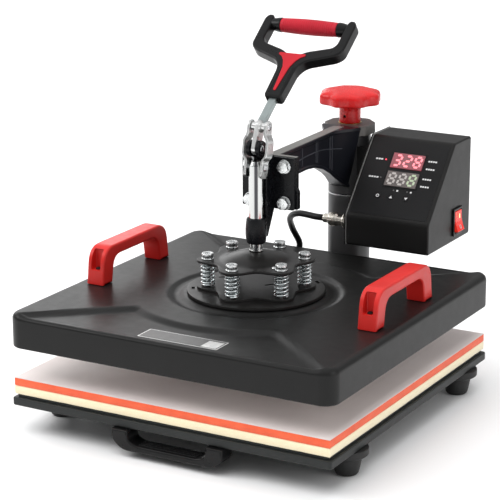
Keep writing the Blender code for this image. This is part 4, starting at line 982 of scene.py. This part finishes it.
# Handle frame: stem, fork and side arms with a cross bar.
STEM_START, GRIP = 0.038, 0.146
side_pts = [(0.0088, STEM_START), (0.0104, STEM_START + 0.003), (0.0115, 0.08), (0.0175, 0.0905),
    (0.05, 0.1025), (0.0568, 0.1095), (0.057, 0.15), (0.0535, 0.155), (0.048, 0.155), (0.0457, 0.15),
    (0.0457, 0.1195), (0.042, 0.114), (0.015, 0.1055), (0.0085, 0.101)]
radii = [0.001, 0.001, 0.01, 0.012, 0.008, 0.006, 0.003, 0.002, 0.002, 0.003, 0.006, 0.006, 0.008,
    0.004]
frame_body = plate("grip_frame_body", [rounded(mirrored(side_pts), radii + radii[::-1], 5)], 0.014,
    (0, 0, 0), BLACK_PLASTIC, edge=0.0022, steps=3)
frame_body.matrix_world = LEVER
bar_turn = LEVER @ Matrix.Translation((0.0, GRIP, 0.0)) @ turn_x
cores = []
for side in (-1.0, 1.0):
    prof = [(0.0, 0.05), (0.006, 0.05), (0.0066, 0.047), (0.008, 0.04), (0.0084, 0.0352), (0.0, 0.0352)]
    cores.append(turned(f"grip_end_{int(side)}", soften([(r, z * side) for r, z in prof], 0.0008),
        (0, 0, 0), BLACK_PLASTIC, 40))
    cores[-1].matrix_world = bar_turn
core = turned("grip_core", [(0.0, 0.0352), (0.0061, 0.0352), (0.0061, -0.0352), (0.0, -0.0352)],
    (0, 0, 0), BLACK_PLASTIC, 32)
core.matrix_world = bar_turn
ribs = []
for side in (-1.0, 1.0):
    for depth_side in (-1.0, 1.0):
        rib = plate("stem_rib", [rounded([(0.0, STEM_START + 0.006), (0.0016, STEM_START + 0.006),
            (0.0022, 0.082), (0.0, 0.082)], 0.0004)], 0.0006, (0, 0, 0), BLACK_PLASTIC, edge=0.0002)
        rib.matrix_world = LEVER @ Matrix.Translation((side * 0.0068, 0.0, depth_side * 0.0071))
        ribs.append(rib)
put(joined("grip_frame", [frame_body, core, *cores, *ribs]), "lever", "handle_frame",
    slot="black_plastic")

ins = [(0.0015, 0.046), (0.0026, 0.062), (0.0042, 0.08), (0.0075, 0.089), (0.012, 0.095),
    (0.0165, 0.0975), (0.016, 0.1003), (0.0095, 0.1), (0.004, 0.1)]
inlay = plate("grip_inlay", [rounded(mirrored(ins), 0.0012, 4)], 0.0012, (0, 0, 0), INSERT_RED,
    edge=0.0004)
inlay.matrix_world = LEVER @ Matrix.Translation((0.0, 0.0, 0.0073))
put(inlay, "lever", "handle_insert", slot="red_plastic")


def barrel():
    """Outline of the ribbed sleeve, from one end to the other."""
    pts = [(0.0063, 0.035), (0.0074, 0.035), (0.0079, 0.0344)]
    count = 300
    for i in range(count + 1):
        z = 0.0335 - 0.067 * i / count
        belly = 0.00895 - 0.001 * (z / 0.0335) ** 2
        rib = 0.0005 * (0.5 + 0.5 * math.cos(math.tau * z / 0.0026))
        if abs(z) > 0.0305:
            rib = 0.00045
        pts.append((belly - 0.00045 + rib, z))
    return pts + [(0.0079, -0.0344), (0.0074, -0.035), (0.0063, -0.035)]


sleeve = turned("grip_barrel", barrel(), (0, 0, 0), GRIP_RED, 56, angle=60.0)
sleeve.matrix_world = bar_turn
put(sleeve, "lever", "grip_sleeve", slot="red_rubber")

# ---------------------------------------------------------------- links

pin_at = at(0, 0, LINK_Z)
link_angle = math.atan2(crank.y - pin_at.y, crank.z - pin_at.z)
LINKS = Matrix.Rotation(-link_angle, 4, "X")
LINKS.translation = pin_at
length = (crank - pin_at).length
end = 0.0068
for node, side in (("link_left", -1.0), ("link_right", 1.0)):
    mid = [(0.0098, -0.0115), (0.0098, 0.0055), (0.0106, 0.008), (0.0132, 0.0115), (0.0141, 0.015),
        (0.0141, 0.027), (0.0134, 0.03), (0.0113, 0.0335), (0.0104, 0.0365), (0.0104, length + end)]
    fine = []
    for (xa, za), (xb, zb) in zip(mid, mid[1:]):
        n = max(2, int(abs(zb - za) / 0.0008))
        fine += [(xa + (xb - xa) * i / n, za + (zb - za) * i / n) for i in range(n)]
    fine.append(mid[-1])
    bm = bmesh.new()
    rings = []
    for i, (x, z) in enumerate(fine):
        a = fine[max(i - 1, 0)]
        b = fine[min(i + 1, len(fine) - 1)]
        d = Vector((b[0] - a[0], b[1] - a[1])).normalized()
        n = Vector((d.y, -d.x))
        if z < 0.0:
            w = end - max(0.0, -0.009 - z) * 1.1
        else:
            w = math.sqrt(max(0.0, end * end - (z - min(z, length)) ** 2))
        w = max(w, 0.0006)
        t, e = 0.0015, 0.0005
        row = []
        for u, v in ((-t, -w + e), (-t + e, -w), (t - e, -w), (t, -w + e), (t, w - e), (t - e, w),
                (-t + e, w), (-t, w - e)):
            p = Vector((side * (x + n.x * u), v, z + n.y * u))
            row.append(bm.verts.new(LINKS @ p))
        rings.append(row)
    grid_faces(bm, rings)
    cap(bm, rings[0])
    cap(bm, rings[-1])
    put(new_object(node + "_bar", bm, LINK_STEEL, 38.0), "links", node, slot="chrome")
profile = soften([(0.0, 0.0135), (0.0028, 0.0134), (0.0042, 0.0124), (0.0042, 0.0114),
    (0.0035, 0.0112), (0.0035, -0.0112), (0.0042, -0.0114), (0.0042, -0.0124), (0.0028, -0.0134),
    (0.0, -0.0135)], 0.0003)
put(turned("link_rivet", profile, pin_at, STEEL, 32, turn=turn_x), "links", "link_pin", slot="steel")
for side in (-1.0, 1.0):
    rivet = turned(f"crank_rivet_{'l' if side < 0 else 'r'}", soften([(0.0, 0.0011), (0.003, 0.0008),
        (0.0042, 0.0), (0.0, 0.0)], 0.0003), LINKS @ Vector((side * 0.0119, 0.0, length)), STEEL, 28,
        turn=spin(side * 90.0, "Y"))
    put(rivet, "links", slot="steel")

# ---------------------------------------------------------------- swing arm

HUB_RADIUS, HUB_CAP_RADIUS = 0.0247, 0.0303
top_line = [(0.0385, 0.241), (0.08, 0.2413), (0.13, 0.2418), (0.17, 0.2422), (0.201, 0.242)]
under = [(0.0385, 0.203), (0.06, 0.207), (0.085, 0.2096), (0.106, 0.21), (0.125, 0.2082),
    (0.145, 0.2022), (0.162, 0.1935), (0.177, 0.1835), (0.19, 0.174), (0.201, 0.169)]


def height_on(line, y):
    for (y0, low_z), (y1, high_z) in zip(line, line[1:]):
        if y <= y1:
            return low_z + (high_z - low_z) * (y - y0) / (y1 - y0)
    return line[-1][1]


def half_width(y):
    """The web flares into the hub like a casting."""
    return 0.005 + 0.0185 * smoothstep((y - 0.158) / 0.046) ** 1.3


bm = bmesh.new()
rings = []
count = 70
for i in range(count + 1):
    y = 0.0375 + (0.202 - 0.0375) * i / count
    zt, zb = height_on(top_line, y), height_on(under, y)
    w = half_width(y)
    rim = max(0.0072, w + 0.0012)
    foot = 0.005 + (w - 0.005) * 0.3
    low_rim = max(0.0066, foot + 0.001)
    section = mirrored([(rim - 0.0006, zt), (rim, zt - 0.0004), (rim, zt - 0.0032),
        (rim - 0.0006, zt - 0.0038), (w + 0.0003, zt - 0.0046), (w, zt - 0.006), (foot, zb + 0.0052),
        (foot + 0.0003, zb + 0.0042), (low_rim - 0.0004, zb + 0.0036), (low_rim, zb + 0.003),
        (low_rim, zb + 0.0006), (low_rim - 0.0008, zb)])
    rings.append([bm.verts.new(at(x, y, z)) for x, z in section])
grid_faces(bm, rings)
cap(bm, rings[0])
cap(bm, rings[-1])
web = new_object("arm_web", bm, ARM_PAINT, 28.0)
arm_parts = [web]
# Ribs and ridge lines on the web, coloured lighter than the casting as painted highlights.
for y in (0.059, 0.0955, 0.1285, 0.1325, 0.1625, 0.1665):
    zt, zb, w = height_on(top_line, y), height_on(under, y), half_width(y) + 0.0008
    arm_parts.append(block(f"web_rib_{int(y * 10000)}", at(-w, y - 0.0006, zb + 0.006),
        at(w, y + 0.0006, zt - 0.005), PAINTED_RIB_HIGHLIGHT, 0.0003))
for side in (-1.0, 1.0):
    path = smoothed([at(side * (half_width(y) + 0.0001), y, z) for y,
        z in ((0.045, 0.216), (0.08, 0.2225), (0.096, 0.2249), (0.131, 0.2256), (0.15, 0.224),
        (0.165, 0.2217), (0.18, 0.22))], 36)
    arm_parts.append(sweep(f"web_line_{int(side)}", path, circle(0, 0, 0.0006, 8), PAINTED_RIB_HIGHLIGHT))
pad_outline = rounded([(-0.032, 0.184), (0.0338, 0.184), (0.0338, 0.204), (0.032, 0.206),
    (0.032, 0.242), (-0.032, 0.242)], 0.0014, 3)
arm_parts.append(plate("arm_bolting_pad", [pad_outline], 0.0072, at(0, 0.0349, 0), CAST_PAINT, FRONT,
    edge=0.0007))
hub = soften([(0.017, 0.231), (HUB_RADIUS, 0.231), (HUB_RADIUS, 0.1603), (0.017, 0.1603)], 0.0008)
arm_parts.append(turned("arm_hub", hub, at(0, POST_Y, 0), POST_PAINT, 96))
# A thin light grey skin over the top faces of the arm and its bolting pad, as a painted highlight.
strip = [(y, height_on(top_line, y)) for y in (0.039, 0.06, 0.09, 0.12, 0.15, 0.18, 0.195)]
arm_parts.append(sweep("arm_top_painted_highlight", [at(0, y, z) for y, z in strip],
    [(-0.0065, 0.0), (0.0065, 0.0), (0.0062, 0.0004), (-0.0062, 0.0004)], PAINTED_TOP_HIGHLIGHT))
arm_parts.append(block("pad_top_painted_highlight", at(-0.0313, 0.0318, 0.2416), at(0.0313, 0.038, 0.2423),
    PAINTED_TOP_HIGHLIGHT, 0.0002))
put(joined("arm_casting", arm_parts), "arm", "swing_arm", slot="black_paint")
corners = [(HUB_CAP_RADIUS * math.cos(math.radians(22.5 + 45 * k)),
    HUB_CAP_RADIUS * math.sin(math.radians(22.5 + 45 * k))) for k in range(8)]
hub_plate = plate("hub_cap", [rounded(corners, 0.0035, 4), circle(0, 0, 0.0088, 32)], 0.0118,
    at(0, POST_Y, 0.2361), HUB_PAINT, edge=0.0009, steps=3)
put(hub_plate, "arm", slot="black_paint")
put(turned("thrust_washer", soften([(0.0171, 0.1597), (0.0247, 0.1597), (0.0247, 0.1583),
    (0.0171, 0.1583)], 0.0002), at(0, POST_Y, 0), STEEL, 96), "lifter", "thrust_ring", slot="steel")

# ---------------------------------------------------------------- pressure knob

KNOB_RADIUS, KNOB_LOBE = 0.035, 0.0019


def knob_shape(a, radius, k):
    if radius < 0.022:
        return radius
    return radius * (1 + (KNOB_LOBE / KNOB_RADIUS) * math.cos(8 * a) * min(1.0,
        (radius - 0.02) / 0.012))


knob = [(0.0, 0.2829), (0.01, 0.2827), (0.018, 0.282), (0.024, 0.2809), (0.0285, 0.2797),
    (0.0315, 0.2786), (0.0335, 0.2772), (0.0346, 0.2752), (0.035, 0.2728), (0.035, 0.27),
    (0.035, 0.2672), (0.0346, 0.266), (0.0336, 0.2652), (0.03, 0.265), (0.024, 0.2648),
    (0.0185, 0.264), (0.0145, 0.2625), (0.0128, 0.26), (0.0125, 0.256), (0.0125, 0.2434),
    (0.0119, 0.2426), (0.0083, 0.2426), (0.0083, 0.26), (0.0, 0.26)]
knob_obj = turned("pressure_handwheel", knob, at(0, POST_Y, 0), KNOB_RED, 192, knob_shape, angle=50.0)
set_screw = Matrix.Translation(at(0, POST_Y, 0.2505)) @ spin(265.0, "Z") @ turn_x
hole = turned("hole", [(0.0, 0.02), (0.0021, 0.02), (0.0021, 0.0), (0.0, 0.0)], (0, 0, 0), DARK, 24)
hole.matrix_world = set_screw
cut(knob_obj, hole)
put(knob_obj, "knob", "pressure_knob", slot="red_plastic")
grub = turned("knob_set_screw", [(0.0, 0.0102), (0.0019, 0.0102), (0.0019, 0.0085), (0.0, 0.0085)],
    (0, 0, 0), DARK, 20)
grub.matrix_world = set_screw
put(grub, "knob")
put(turned("knob_washer", soften([(0.0084, 0.2425), (0.0136, 0.2425), (0.0136, 0.2421),
    (0.0084, 0.2421)], 0.0001), at(0, POST_Y, 0), BRASS, 64), "knob")
paint("lift_screw", STEEL)

# ---------------------------------------------------------------- control box

BOX_LEFT, BOX_RIGHT, BOX_FRONT, BOX_BACK = 0.035, 0.14, 0.1415, 0.256
BOX_FLOOR, BOX_TOP = 0.1185, 0.234
PANEL_FOOT_Z, PANEL_HEAD_Y = 0.154, 0.211
case = rounded([(BOX_FRONT, BOX_FLOOR), (BOX_BACK, BOX_FLOOR), (BOX_BACK, BOX_TOP),
    (PANEL_HEAD_Y, BOX_TOP), (BOX_FRONT, PANEL_FOOT_Z)], [0.0035, 0.003, 0.0035, 0.003, 0.003], 6)
width = BOX_RIGHT - BOX_LEFT - 0.0022
shell = plate("case_shell", [case], width, at(BOX_LEFT + 0.0022 + width / 2, 0, 0), BOX_PAINT, SIDE,
    edge=0.0022, steps=4)
inlet_low, inlet_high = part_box("mains_inlet")
inlet_mid = (inlet_low + inlet_high) / 2
cut(shell, block("socket_well", (inlet_mid.x - 0.0126, inlet_low.y, inlet_mid.z - 0.0086),
    (inlet_mid.x + 0.0126, inlet_high.y + 0.01, inlet_mid.z + 0.0086), BOX_PAINT, 0.0))
cut(shell, block("rocker_well", at(BOX_RIGHT - 0.012, 0.219 - 0.0098, 0.1415 - 0.0138),
    at(BOX_RIGHT + 0.01, 0.219 + 0.0098, 0.1415 + 0.0138), BOX_PAINT, 0.0))
for k in range(6):
    x = BOX_LEFT + 0.034 + 0.0075 * k
    cut(shell, block("vent", at(x, BOX_BACK - 0.003, 0.2), at(x + 0.003, BOX_BACK + 0.01, 0.218),
        BOX_PAINT, 0.001))
foot_pt, head_pt = at(BOX_LEFT, BOX_FRONT, PANEL_FOOT_Z), at(BOX_LEFT, PANEL_HEAD_Y, BOX_TOP)
up = (head_pt - foot_pt).normalized()
PANEL = Matrix((right, up, right.cross(up))).transposed().to_4x4()
PANEL.translation = foot_pt
panel_len = (head_pt - foot_pt).length
put(shell, "arm", "control_case", slot="black_paint")


def on_panel(obj, lift=0.0):
    obj.matrix_world = PANEL @ Matrix.Translation((0.0, 0.0, lift)) @ obj.matrix_world
    return obj


def flat(name, outlines, thick, lift, mat, edge=0.00005, body="arm"):
    """A thin piece lying on the sloped panel, its top at lift + thick."""
    return put(on_panel(plate(name, outlines, thick, (0, 0, 0), mat, edge=edge), lift + thick / 2),
        body)


panel_w = BOX_RIGHT - BOX_LEFT
hole_d = rect(0.034, 0.0402, 0.0774, 0.0862, 0.0006)
key_x = {"key_set": 0.0328, "key_up": 0.0494, "key_down": 0.0681}
holes = [circle(x, 0.0286, 0.0038, 28) for x in key_x.values()]
flat("panel_overlay", [rect(0.0055, 0.0042, panel_w - 0.0045, panel_len - 0.0042, 0.0022), hole_d,
    *holes], 0.00035, 0.0, PANEL_FILM, 0.0001)
carrier = on_panel(plate("readout_carrier", [rect(0.0342, 0.0404, 0.0772, 0.086, 0.0006)], 0.005,
    (0, 0, 0), PANEL_FILM, edge=0.0002), -0.0021)
windows = []
for name, y0, y1, mat in (("w_up", 0.0657, 0.0847, WINDOW_RED), ("w_low", 0.0421, 0.0611, WINDOW_GREY)):
    windows.append(on_panel(plate(name, [rect(0.0362, y0, 0.0752, y1, 0.0008)], 0.0016, (0, 0, 0), mat,
        edge=0.0002), 0.001))
put(joined("readout_windows", [carrier, *windows]), "arm", "display_module", slot="smoked_window")

LIT = {"2": "abged", "3": "abgcd", "8": "abcdefg"}


def digit(name, text, x, y, wide, tall, thick, mat):
    """The lit bars of one seven-bar numeral."""
    bars = []
    h = tall / 2
    ends = {"a": ((0, h), (wide, h)), "g": ((0, 0), (wide, 0)), "d": ((0, -h), (wide, -h)),
        "f": ((0, 0), (0, h)), "b": ((wide, 0), (wide, h)), "e": ((0, -h), (0, 0)),
        "c": ((wide, -h), (wide, 0))}
    for bar in "abcdefg":
        if bar not in LIT[text]:
            continue
        (x0, y0), (x1, y1) = ends[bar]
        slant = 0.12
        p0, p1 = Vector((x0 + y0 * slant, y0)), Vector((x1 + y1 * slant, y1))
        d = (p1 - p0).normalized()
        n = Vector((-d.y, d.x)) * thick / 2
        g = 0.00022 + thick * 0.25
        a, b = p0 + d * g, p1 - d * g
        pts = [a + d * thick * 0.3 + n, b - d * thick * 0.3 + n, b, b - d * thick * 0.3 - n,
            a + d * thick * 0.3 - n, a]
        bars.append(plate(f"{name}_{bar}", [[(x + p.x, y + p.y) for p in pts]], 0.00012, (0, 0, 0),
            mat, edge=0.00002))
    return bars


for row, (text, y, mat_lit) in enumerate((("328", 0.0752, DIGIT_LIT), ("888", 0.0516, DIGIT_OFF))):
    bars = []
    for k, char in enumerate(text):
        mat = DIGIT_GREEN if (row, k) == (1, 2) else mat_lit
        bars += digit(f"digit_{row}_{k}", char, 0.04 + 0.0124 * k, y, 0.0072, 0.013, 0.0025, mat)
    for b in bars:
        on_panel(b, 0.00186)
    put(joined(f"readout_digits_{row}", bars), "arm")
for name, x, y, mat in (("lamp_out", 0.0282, 0.0752, LED_RED), ("lamp_work", 0.0291, 0.0518, LED_OFF),
        ("lamp_left", 0.0499, 0.0375, LED_OFF), ("lamp_right", 0.0668, 0.0375, LED_OFF)):
    lamp = turned(name, [(0.0, 0.0009), (0.0005, 0.0008), (0.0009, 0.0004), (0.001, 0.0), (0.0, 0.0)],
        (x, y, 0.0003), mat, 20)
    put(on_panel(lamp), "arm")

# Plain marks where the real panel has small words.
marks = []
for k, (x, y, n, w) in enumerate(((0.0155, 0.0752, 3, 0.0026), (0.014, 0.0518, 4, 0.0026),
        (0.08, 0.079, 4, 0.0022), (0.08, 0.069, 4, 0.0022), (0.08, 0.056, 4, 0.0022),
        (0.08, 0.0465, 4, 0.0022), (0.0535, 0.0375, 1, 0.0022), (0.0704, 0.0375, 1, 0.0022))):
    for i in range(n):
        x0 = x + i * (w + 0.0006)
        marks.append(on_panel(plate(f"mark_{k}_{i}", [rect(x0, y - 0.001, x0 + w, y + 0.001, 0.0006)],
            0.00006, (0, 0, 0), PRINT, edge=0.00001), 0.00038))
put(joined("panel_marks", marks), "arm")

for node, x in key_x.items():
    body = {"key_set": "set_key", "key_up": "up_key", "key_down": "down_key"}[node]
    key = turned(node + "_button", soften([(0.0, 0.0009), (0.0022, 0.00088), (0.0033, 0.0006),
        (0.0036, 0.0002), (0.0036, -0.005), (0.0, -0.005)], 0.0003), (x, 0.0286, 0.0), PANEL_FILM, 40)
    on_panel(key)
    if node == "key_up":
        icon = [(-0.0019, -0.0016), (0.0019, -0.0016), (0.0, 0.0018)]
    elif node == "key_down":
        icon = [(0.0019, 0.0016), (-0.0019, 0.0016), (0.0, -0.0018)]
    else:
        icon = circle(0, 0, 0.002, 24)
    outlines = [[(x + u, 0.0286 + v) for u, v in icon]]
    if node == "key_set":
        outlines.append(circle(x, 0.0286, 0.0011, 20))
    mark = on_panel(plate(node + "_icon", outlines, 0.00012, (0, 0, 0), PRINT, edge=0.00002), 0.00092)
    put(joined(node + "_cap", [key, mark]), body, node, slot="black_plastic")

# Side plate, with a light grey slab along the casing's outline as a painted highlight, and the case
# screws.
paint("control_mount", BOX_PAINT)
highlight_line = plate("mount_edge_painted_highlight", [case], 0.002, at(BOX_LEFT + 0.0011, 0, 0), PAINTED_EDGE_HIGHLIGHT, SIDE,
    edge=0.0005)
put(highlight_line, "arm", slot="black_paint")
for k, (y, z) in enumerate(((0.248, 0.126), (0.248, 0.226), (0.15, 0.126))):
    put(screw_head(f"case_screw_{k}", 0.0014, (0.002, 0.0012), (0.0028, 0.0004), at(BOX_LEFT, y, z),
        ZINC, spin(-90.0, "Y")), "arm", slot="zinc")

for k, (x, z) in enumerate(((0.044, 0.126), (0.132, 0.126), (0.044, 0.226), (0.132, 0.226))):
    put(screw_head(f"back_screw_{k}", 0.0013, (0.0018, 0.0012), (0.0026, 0.0004), at(x, BOX_BACK, z),
        ZINC, spin(-90.0, "X")), "arm", slot="zinc")

# Rocker switch on the right side.
SWITCH_Y, SWITCH_Z = 0.219, 0.1415
bezel = plate("switch_bezel_rim", [rect(-0.012, -0.016, 0.012, 0.016, 0.0012),
    rect(-0.0093, -0.0131, 0.0093, 0.0131, 0.0006)], 0.0022, (0, 0, 0), BLACK_PLASTIC, edge=0.0006)
bezel.matrix_world = Matrix.Translation(at(BOX_RIGHT + 0.0012, SWITCH_Y, SWITCH_Z)) @ SIDE
well = plate("switch_well", [rect(-0.0104, -0.0144, 0.0104, 0.0144, 0.0006),
    rect(-0.0092, -0.013, 0.0092, 0.013, 0.0004)], 0.012, (0, 0, 0), BLACK_PLASTIC, edge=0.0001)
well.matrix_world = Matrix.Translation(at(BOX_RIGHT - 0.006, SWITCH_Y, SWITCH_Z)) @ SIDE
back = block("switch_back", at(BOX_RIGHT - 0.0138, SWITCH_Y - 0.0103, SWITCH_Z - 0.0143),
    at(BOX_RIGHT - 0.0122, SWITCH_Y + 0.0103, SWITCH_Z + 0.0143), BLACK_PLASTIC, 0.0002)
put(joined("switch_bezel", [bezel, well, back]), "arm", "switch_frame", slot="black_plastic")
tilt = spin(-10.0, "Y")
ROCK = Matrix.Translation(at(BOX_RIGHT, SWITCH_Y, SWITCH_Z)) @ tilt
rocker_outline = [(0.0046, -0.0118), (0.0036, -0.006), (0.0029, 0.0), (0.0036, 0.006),
    (0.0046, 0.0118), (0.002, 0.0119), (-0.001, 0.0112), (-0.008, 0.004), (-0.008, -0.004),
    (-0.001, -0.0112), (0.002, -0.0119)]
rock = plate("rocker_body", [rounded(rocker_outline, 0.0008, 3)], 0.0176, (0, 0, 0), ROCKER_RED, FRONT,
    edge=0.0006)
rock.matrix_world = ROCK @ rock.matrix_world
bar_mark = block("rocker_bar", (0.00385, -0.0008, 0.004), (0.00425, 0.0008, 0.009), ROCKER_MARK, 0.0)
bar_mark.matrix_world = ROCK @ spin(8.0, "Y") @ bar_mark.matrix_world
ring_mark = plate("rocker_ring", [circle(0, 0, 0.0022, 24), circle(0, 0, 0.0014, 24)], 0.0002,
    (0, 0, 0), PRINT, SIDE, edge=0.00002)
ring_mark.matrix_world = (ROCK @ Matrix.Translation((0.0042, 0.0, -0.007)) @ spin(-9.0, "Y") @ SIDE)
put(joined("rocker_cap", [rock, bar_mark, ring_mark]), "rocker", "power_rocker", slot="red_plastic")

# Plug and cable.
PLUG_Y, PLUG_Z = 0.15, 0.144
plug_len = BOX_LEFT - 0.0003 - 0.005
prof = [(0.0, plug_len), (0.005, plug_len), (0.0053, plug_len - 0.001), (0.0053, plug_len - 0.0058),
    (0.0062, plug_len - 0.0066), (0.0077, plug_len - 0.008), (0.0078, plug_len - 0.01),
    (0.0078, plug_len - 0.0155), (0.0074, plug_len - 0.017), (0.0066, plug_len - 0.019),
    (0.0066, 0.0046), (0.0072, 0.004), (0.0085, 0.0034), (0.0086, 0.0026), (0.0086, 0.0006),
    (0.008, 0.0), (0.0, 0.0)]


plug = turned("plug_shell", soften(prof, 0.0004, 2), at(BOX_LEFT - 0.0003, PLUG_Y, PLUG_Z), PLUG_METAL,
    156, turn=spin(-90.0, "Y"))
put(plug, "arm", "cable_plug", slot="chrome")
for k, z in enumerate((0.0108, 0.0128, 0.0148)):
    band = turned(f"plug_band_{k}", soften([(0.007, 0.0007), (0.0081, 0.0007), (0.0081, -0.0007),
        (0.007, -0.0007)], 0.0003), at(BOX_LEFT - 0.0003 - plug_len + z, PLUG_Y, PLUG_Z), PLUG_METAL,
        72, turn=spin(-90.0, "Y"))
    put(band, "arm", slot="chrome")

route_points = [at(0.0047, PLUG_Y, PLUG_Z), at(-0.006, PLUG_Y, PLUG_Z), at(-0.032, 0.1565, 0.143),
    at(-0.052, 0.1735, 0.1315), at(-0.059, 0.1915, 0.1135), at(-0.056, 0.203, 0.0943),
    at(-0.056, 0.203, 0.0843)]
route = smoothed(route_points, 60)
cable = sweep("heater_lead", route, circle(0, 0, 0.00375, 20), CABLE_RUBBER, angle=60.0)
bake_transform(cable)
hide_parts("heater_cable")

low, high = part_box("cable_gland")
gland = block("gland_block", low, (high.x, high.y, high.z - 0.0022), BLACK_PLASTIC, 0.0015)
collar = turned("gland_collar", soften([(0.0036, 0.0), (0.0056, 0.0), (0.0066, -0.0018),
    (0.0066, -0.004), (0.0036, -0.004)], 0.0005), (route[-1].x, route[-1].y, high.z), BLACK_PLASTIC, 36)
gland = joined("gland_body", [gland, collar])
put(gland, "platen", "cable_gland", slot="black_plastic")

low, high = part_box("mains_inlet")
mid = (low + high) / 2
socket = plate("inlet_shell", [rect(low.x, low.z, high.x, high.z, 0.0015),
    rect(mid.x - 0.012, mid.z - 0.008, mid.x + 0.012, mid.z + 0.008, 0.002)], high.y - low.y,
    (0, mid.y, 0), BLACK_PLASTIC, FRONT, edge=0.0004)
socket_floor = block("inlet_floor", (low.x + 0.001, low.y + 0.0002, low.z + 0.001),
    (high.x - 0.001, low.y + 0.003, high.z - 0.001), BLACK_PLASTIC, 0.0002)
pins = [block(f"inlet_pin_{k}", (mid.x + x - 0.001, low.y + 0.002, mid.z + z - 0.0025),
    (mid.x + x + 0.001, low.y + 0.015, mid.z + z + 0.0025), STEEL, 0.0003) for k,
    (x, z) in enumerate(((-0.007, -0.002), (0.0, 0.0025), (0.007, -0.002)))]
put(joined("inlet_socket", [socket, socket_floor, *pins]), "arm", "mains_inlet", slot="black_plastic")
paint("circuit_board", BOARD)

# ---------------------------------------------------------------- floor, light, camera

floor_mat = Look("studio_floor", (0.86, 0.86, 0.86), 0.6)
floor_mat.color(floor_mat.noise(1.5, 2.0), (0.84, 0.84, 0.84), (0.88, 0.88, 0.88))
bm = bmesh.new()
bmesh.ops.create_grid(bm, x_segments=1, y_segments=1, size=80.0)
floor = new_object("studio_floor", bm, floor_mat.mat)
floor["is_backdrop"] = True

world = bpy.data.worlds.new("studio")
bpy.context.scene.world = world
world.use_nodes = True
sky = world.node_tree
coords = sky.nodes.new("ShaderNodeTexCoord")
split = sky.nodes.new("ShaderNodeSeparateXYZ")
shade = sky.nodes.new("ShaderNodeValToRGB")
shade.color_ramp.elements[0].position = 0.05
shade.color_ramp.elements[0].color = (0.22, 0.22, 0.22, 1.0)
shade.color_ramp.elements[1].position = 0.85
shade.color_ramp.elements[1].color = (0.85, 0.85, 0.86, 1.0)
sky.links.new(coords.outputs["Generated"], split.inputs["Vector"])
sky.links.new(split.outputs["Z"], shade.inputs["Fac"])
sky.links.new(shade.outputs["Color"], sky.nodes["Background"].inputs["Color"])
sky.nodes["Background"].inputs["Strength"].default_value = 1.0


def area(name, place, target, size, power, size_y=None):
    lamp = bpy.data.lights.new(name, "AREA")
    lamp.shape = "RECTANGLE"
    lamp.size = size
    lamp.size_y = size_y or size
    lamp.energy = power
    obj = link(bpy.data.objects.new(name, lamp))
    obj.location = place
    obj.rotation_euler = (Vector(target) - Vector(place)).to_track_quat("-Z", "Y").to_euler()


overhead = bpy.data.lights.new("overhead", "SUN")
overhead.energy, overhead.angle = 2.5, math.radians(80.0)
dome_light = link(bpy.data.objects.new("overhead", overhead))
dome_light.rotation_euler = (math.radians(8.0), math.radians(-14.0), 0.0)
dome_light.visible_glossy = False
area("key", (-1.6, -0.9, 1.5), (0, 0, 0.15), 0.9, 11.0)
area("fill_right", (1.9, -0.2, 0.9), (0, 0, 0.15), 1.0, 6.0)
area("back_left", (-2.1, 1.5, 0.95), (0, 0, 0.1), 2.0, 12.0, size_y=1.0)

# Even shading on the flat faces between softened edges.
UNEVEN = {"felt_layer", "silicone_layer", "top_sheet", "studio_floor", "heater_lead", *NODES}
for obj in bpy.context.scene.objects:
    if obj.type == "MESH" and obj.name not in UNEVEN and not obj.name.startswith("coil_"):
        obj.modifiers.new("even_shading", "WEIGHTED_NORMAL").keep_sharp = True

camera = bpy.data.cameras.new("camera")
camera.sensor_width = 36.0
camera.lens = 143.35
camera.clip_start, camera.clip_end = 0.05, 50.0
eye = link(bpy.data.objects.new("camera", camera))
eye.location = (1.0265, -1.8435, 0.7761)
LOOK_DOWN, HEADING, ROLL = 15.94, 29.71, -0.22
eye.rotation_euler = (spin(HEADING, "Z") @ spin(90.0 - LOOK_DOWN, "X") @ spin(ROLL, "Z")).to_euler()
bpy.context.scene.camera = eye
bpy.context.scene.view_settings.view_transform = "Standard"

low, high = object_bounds()
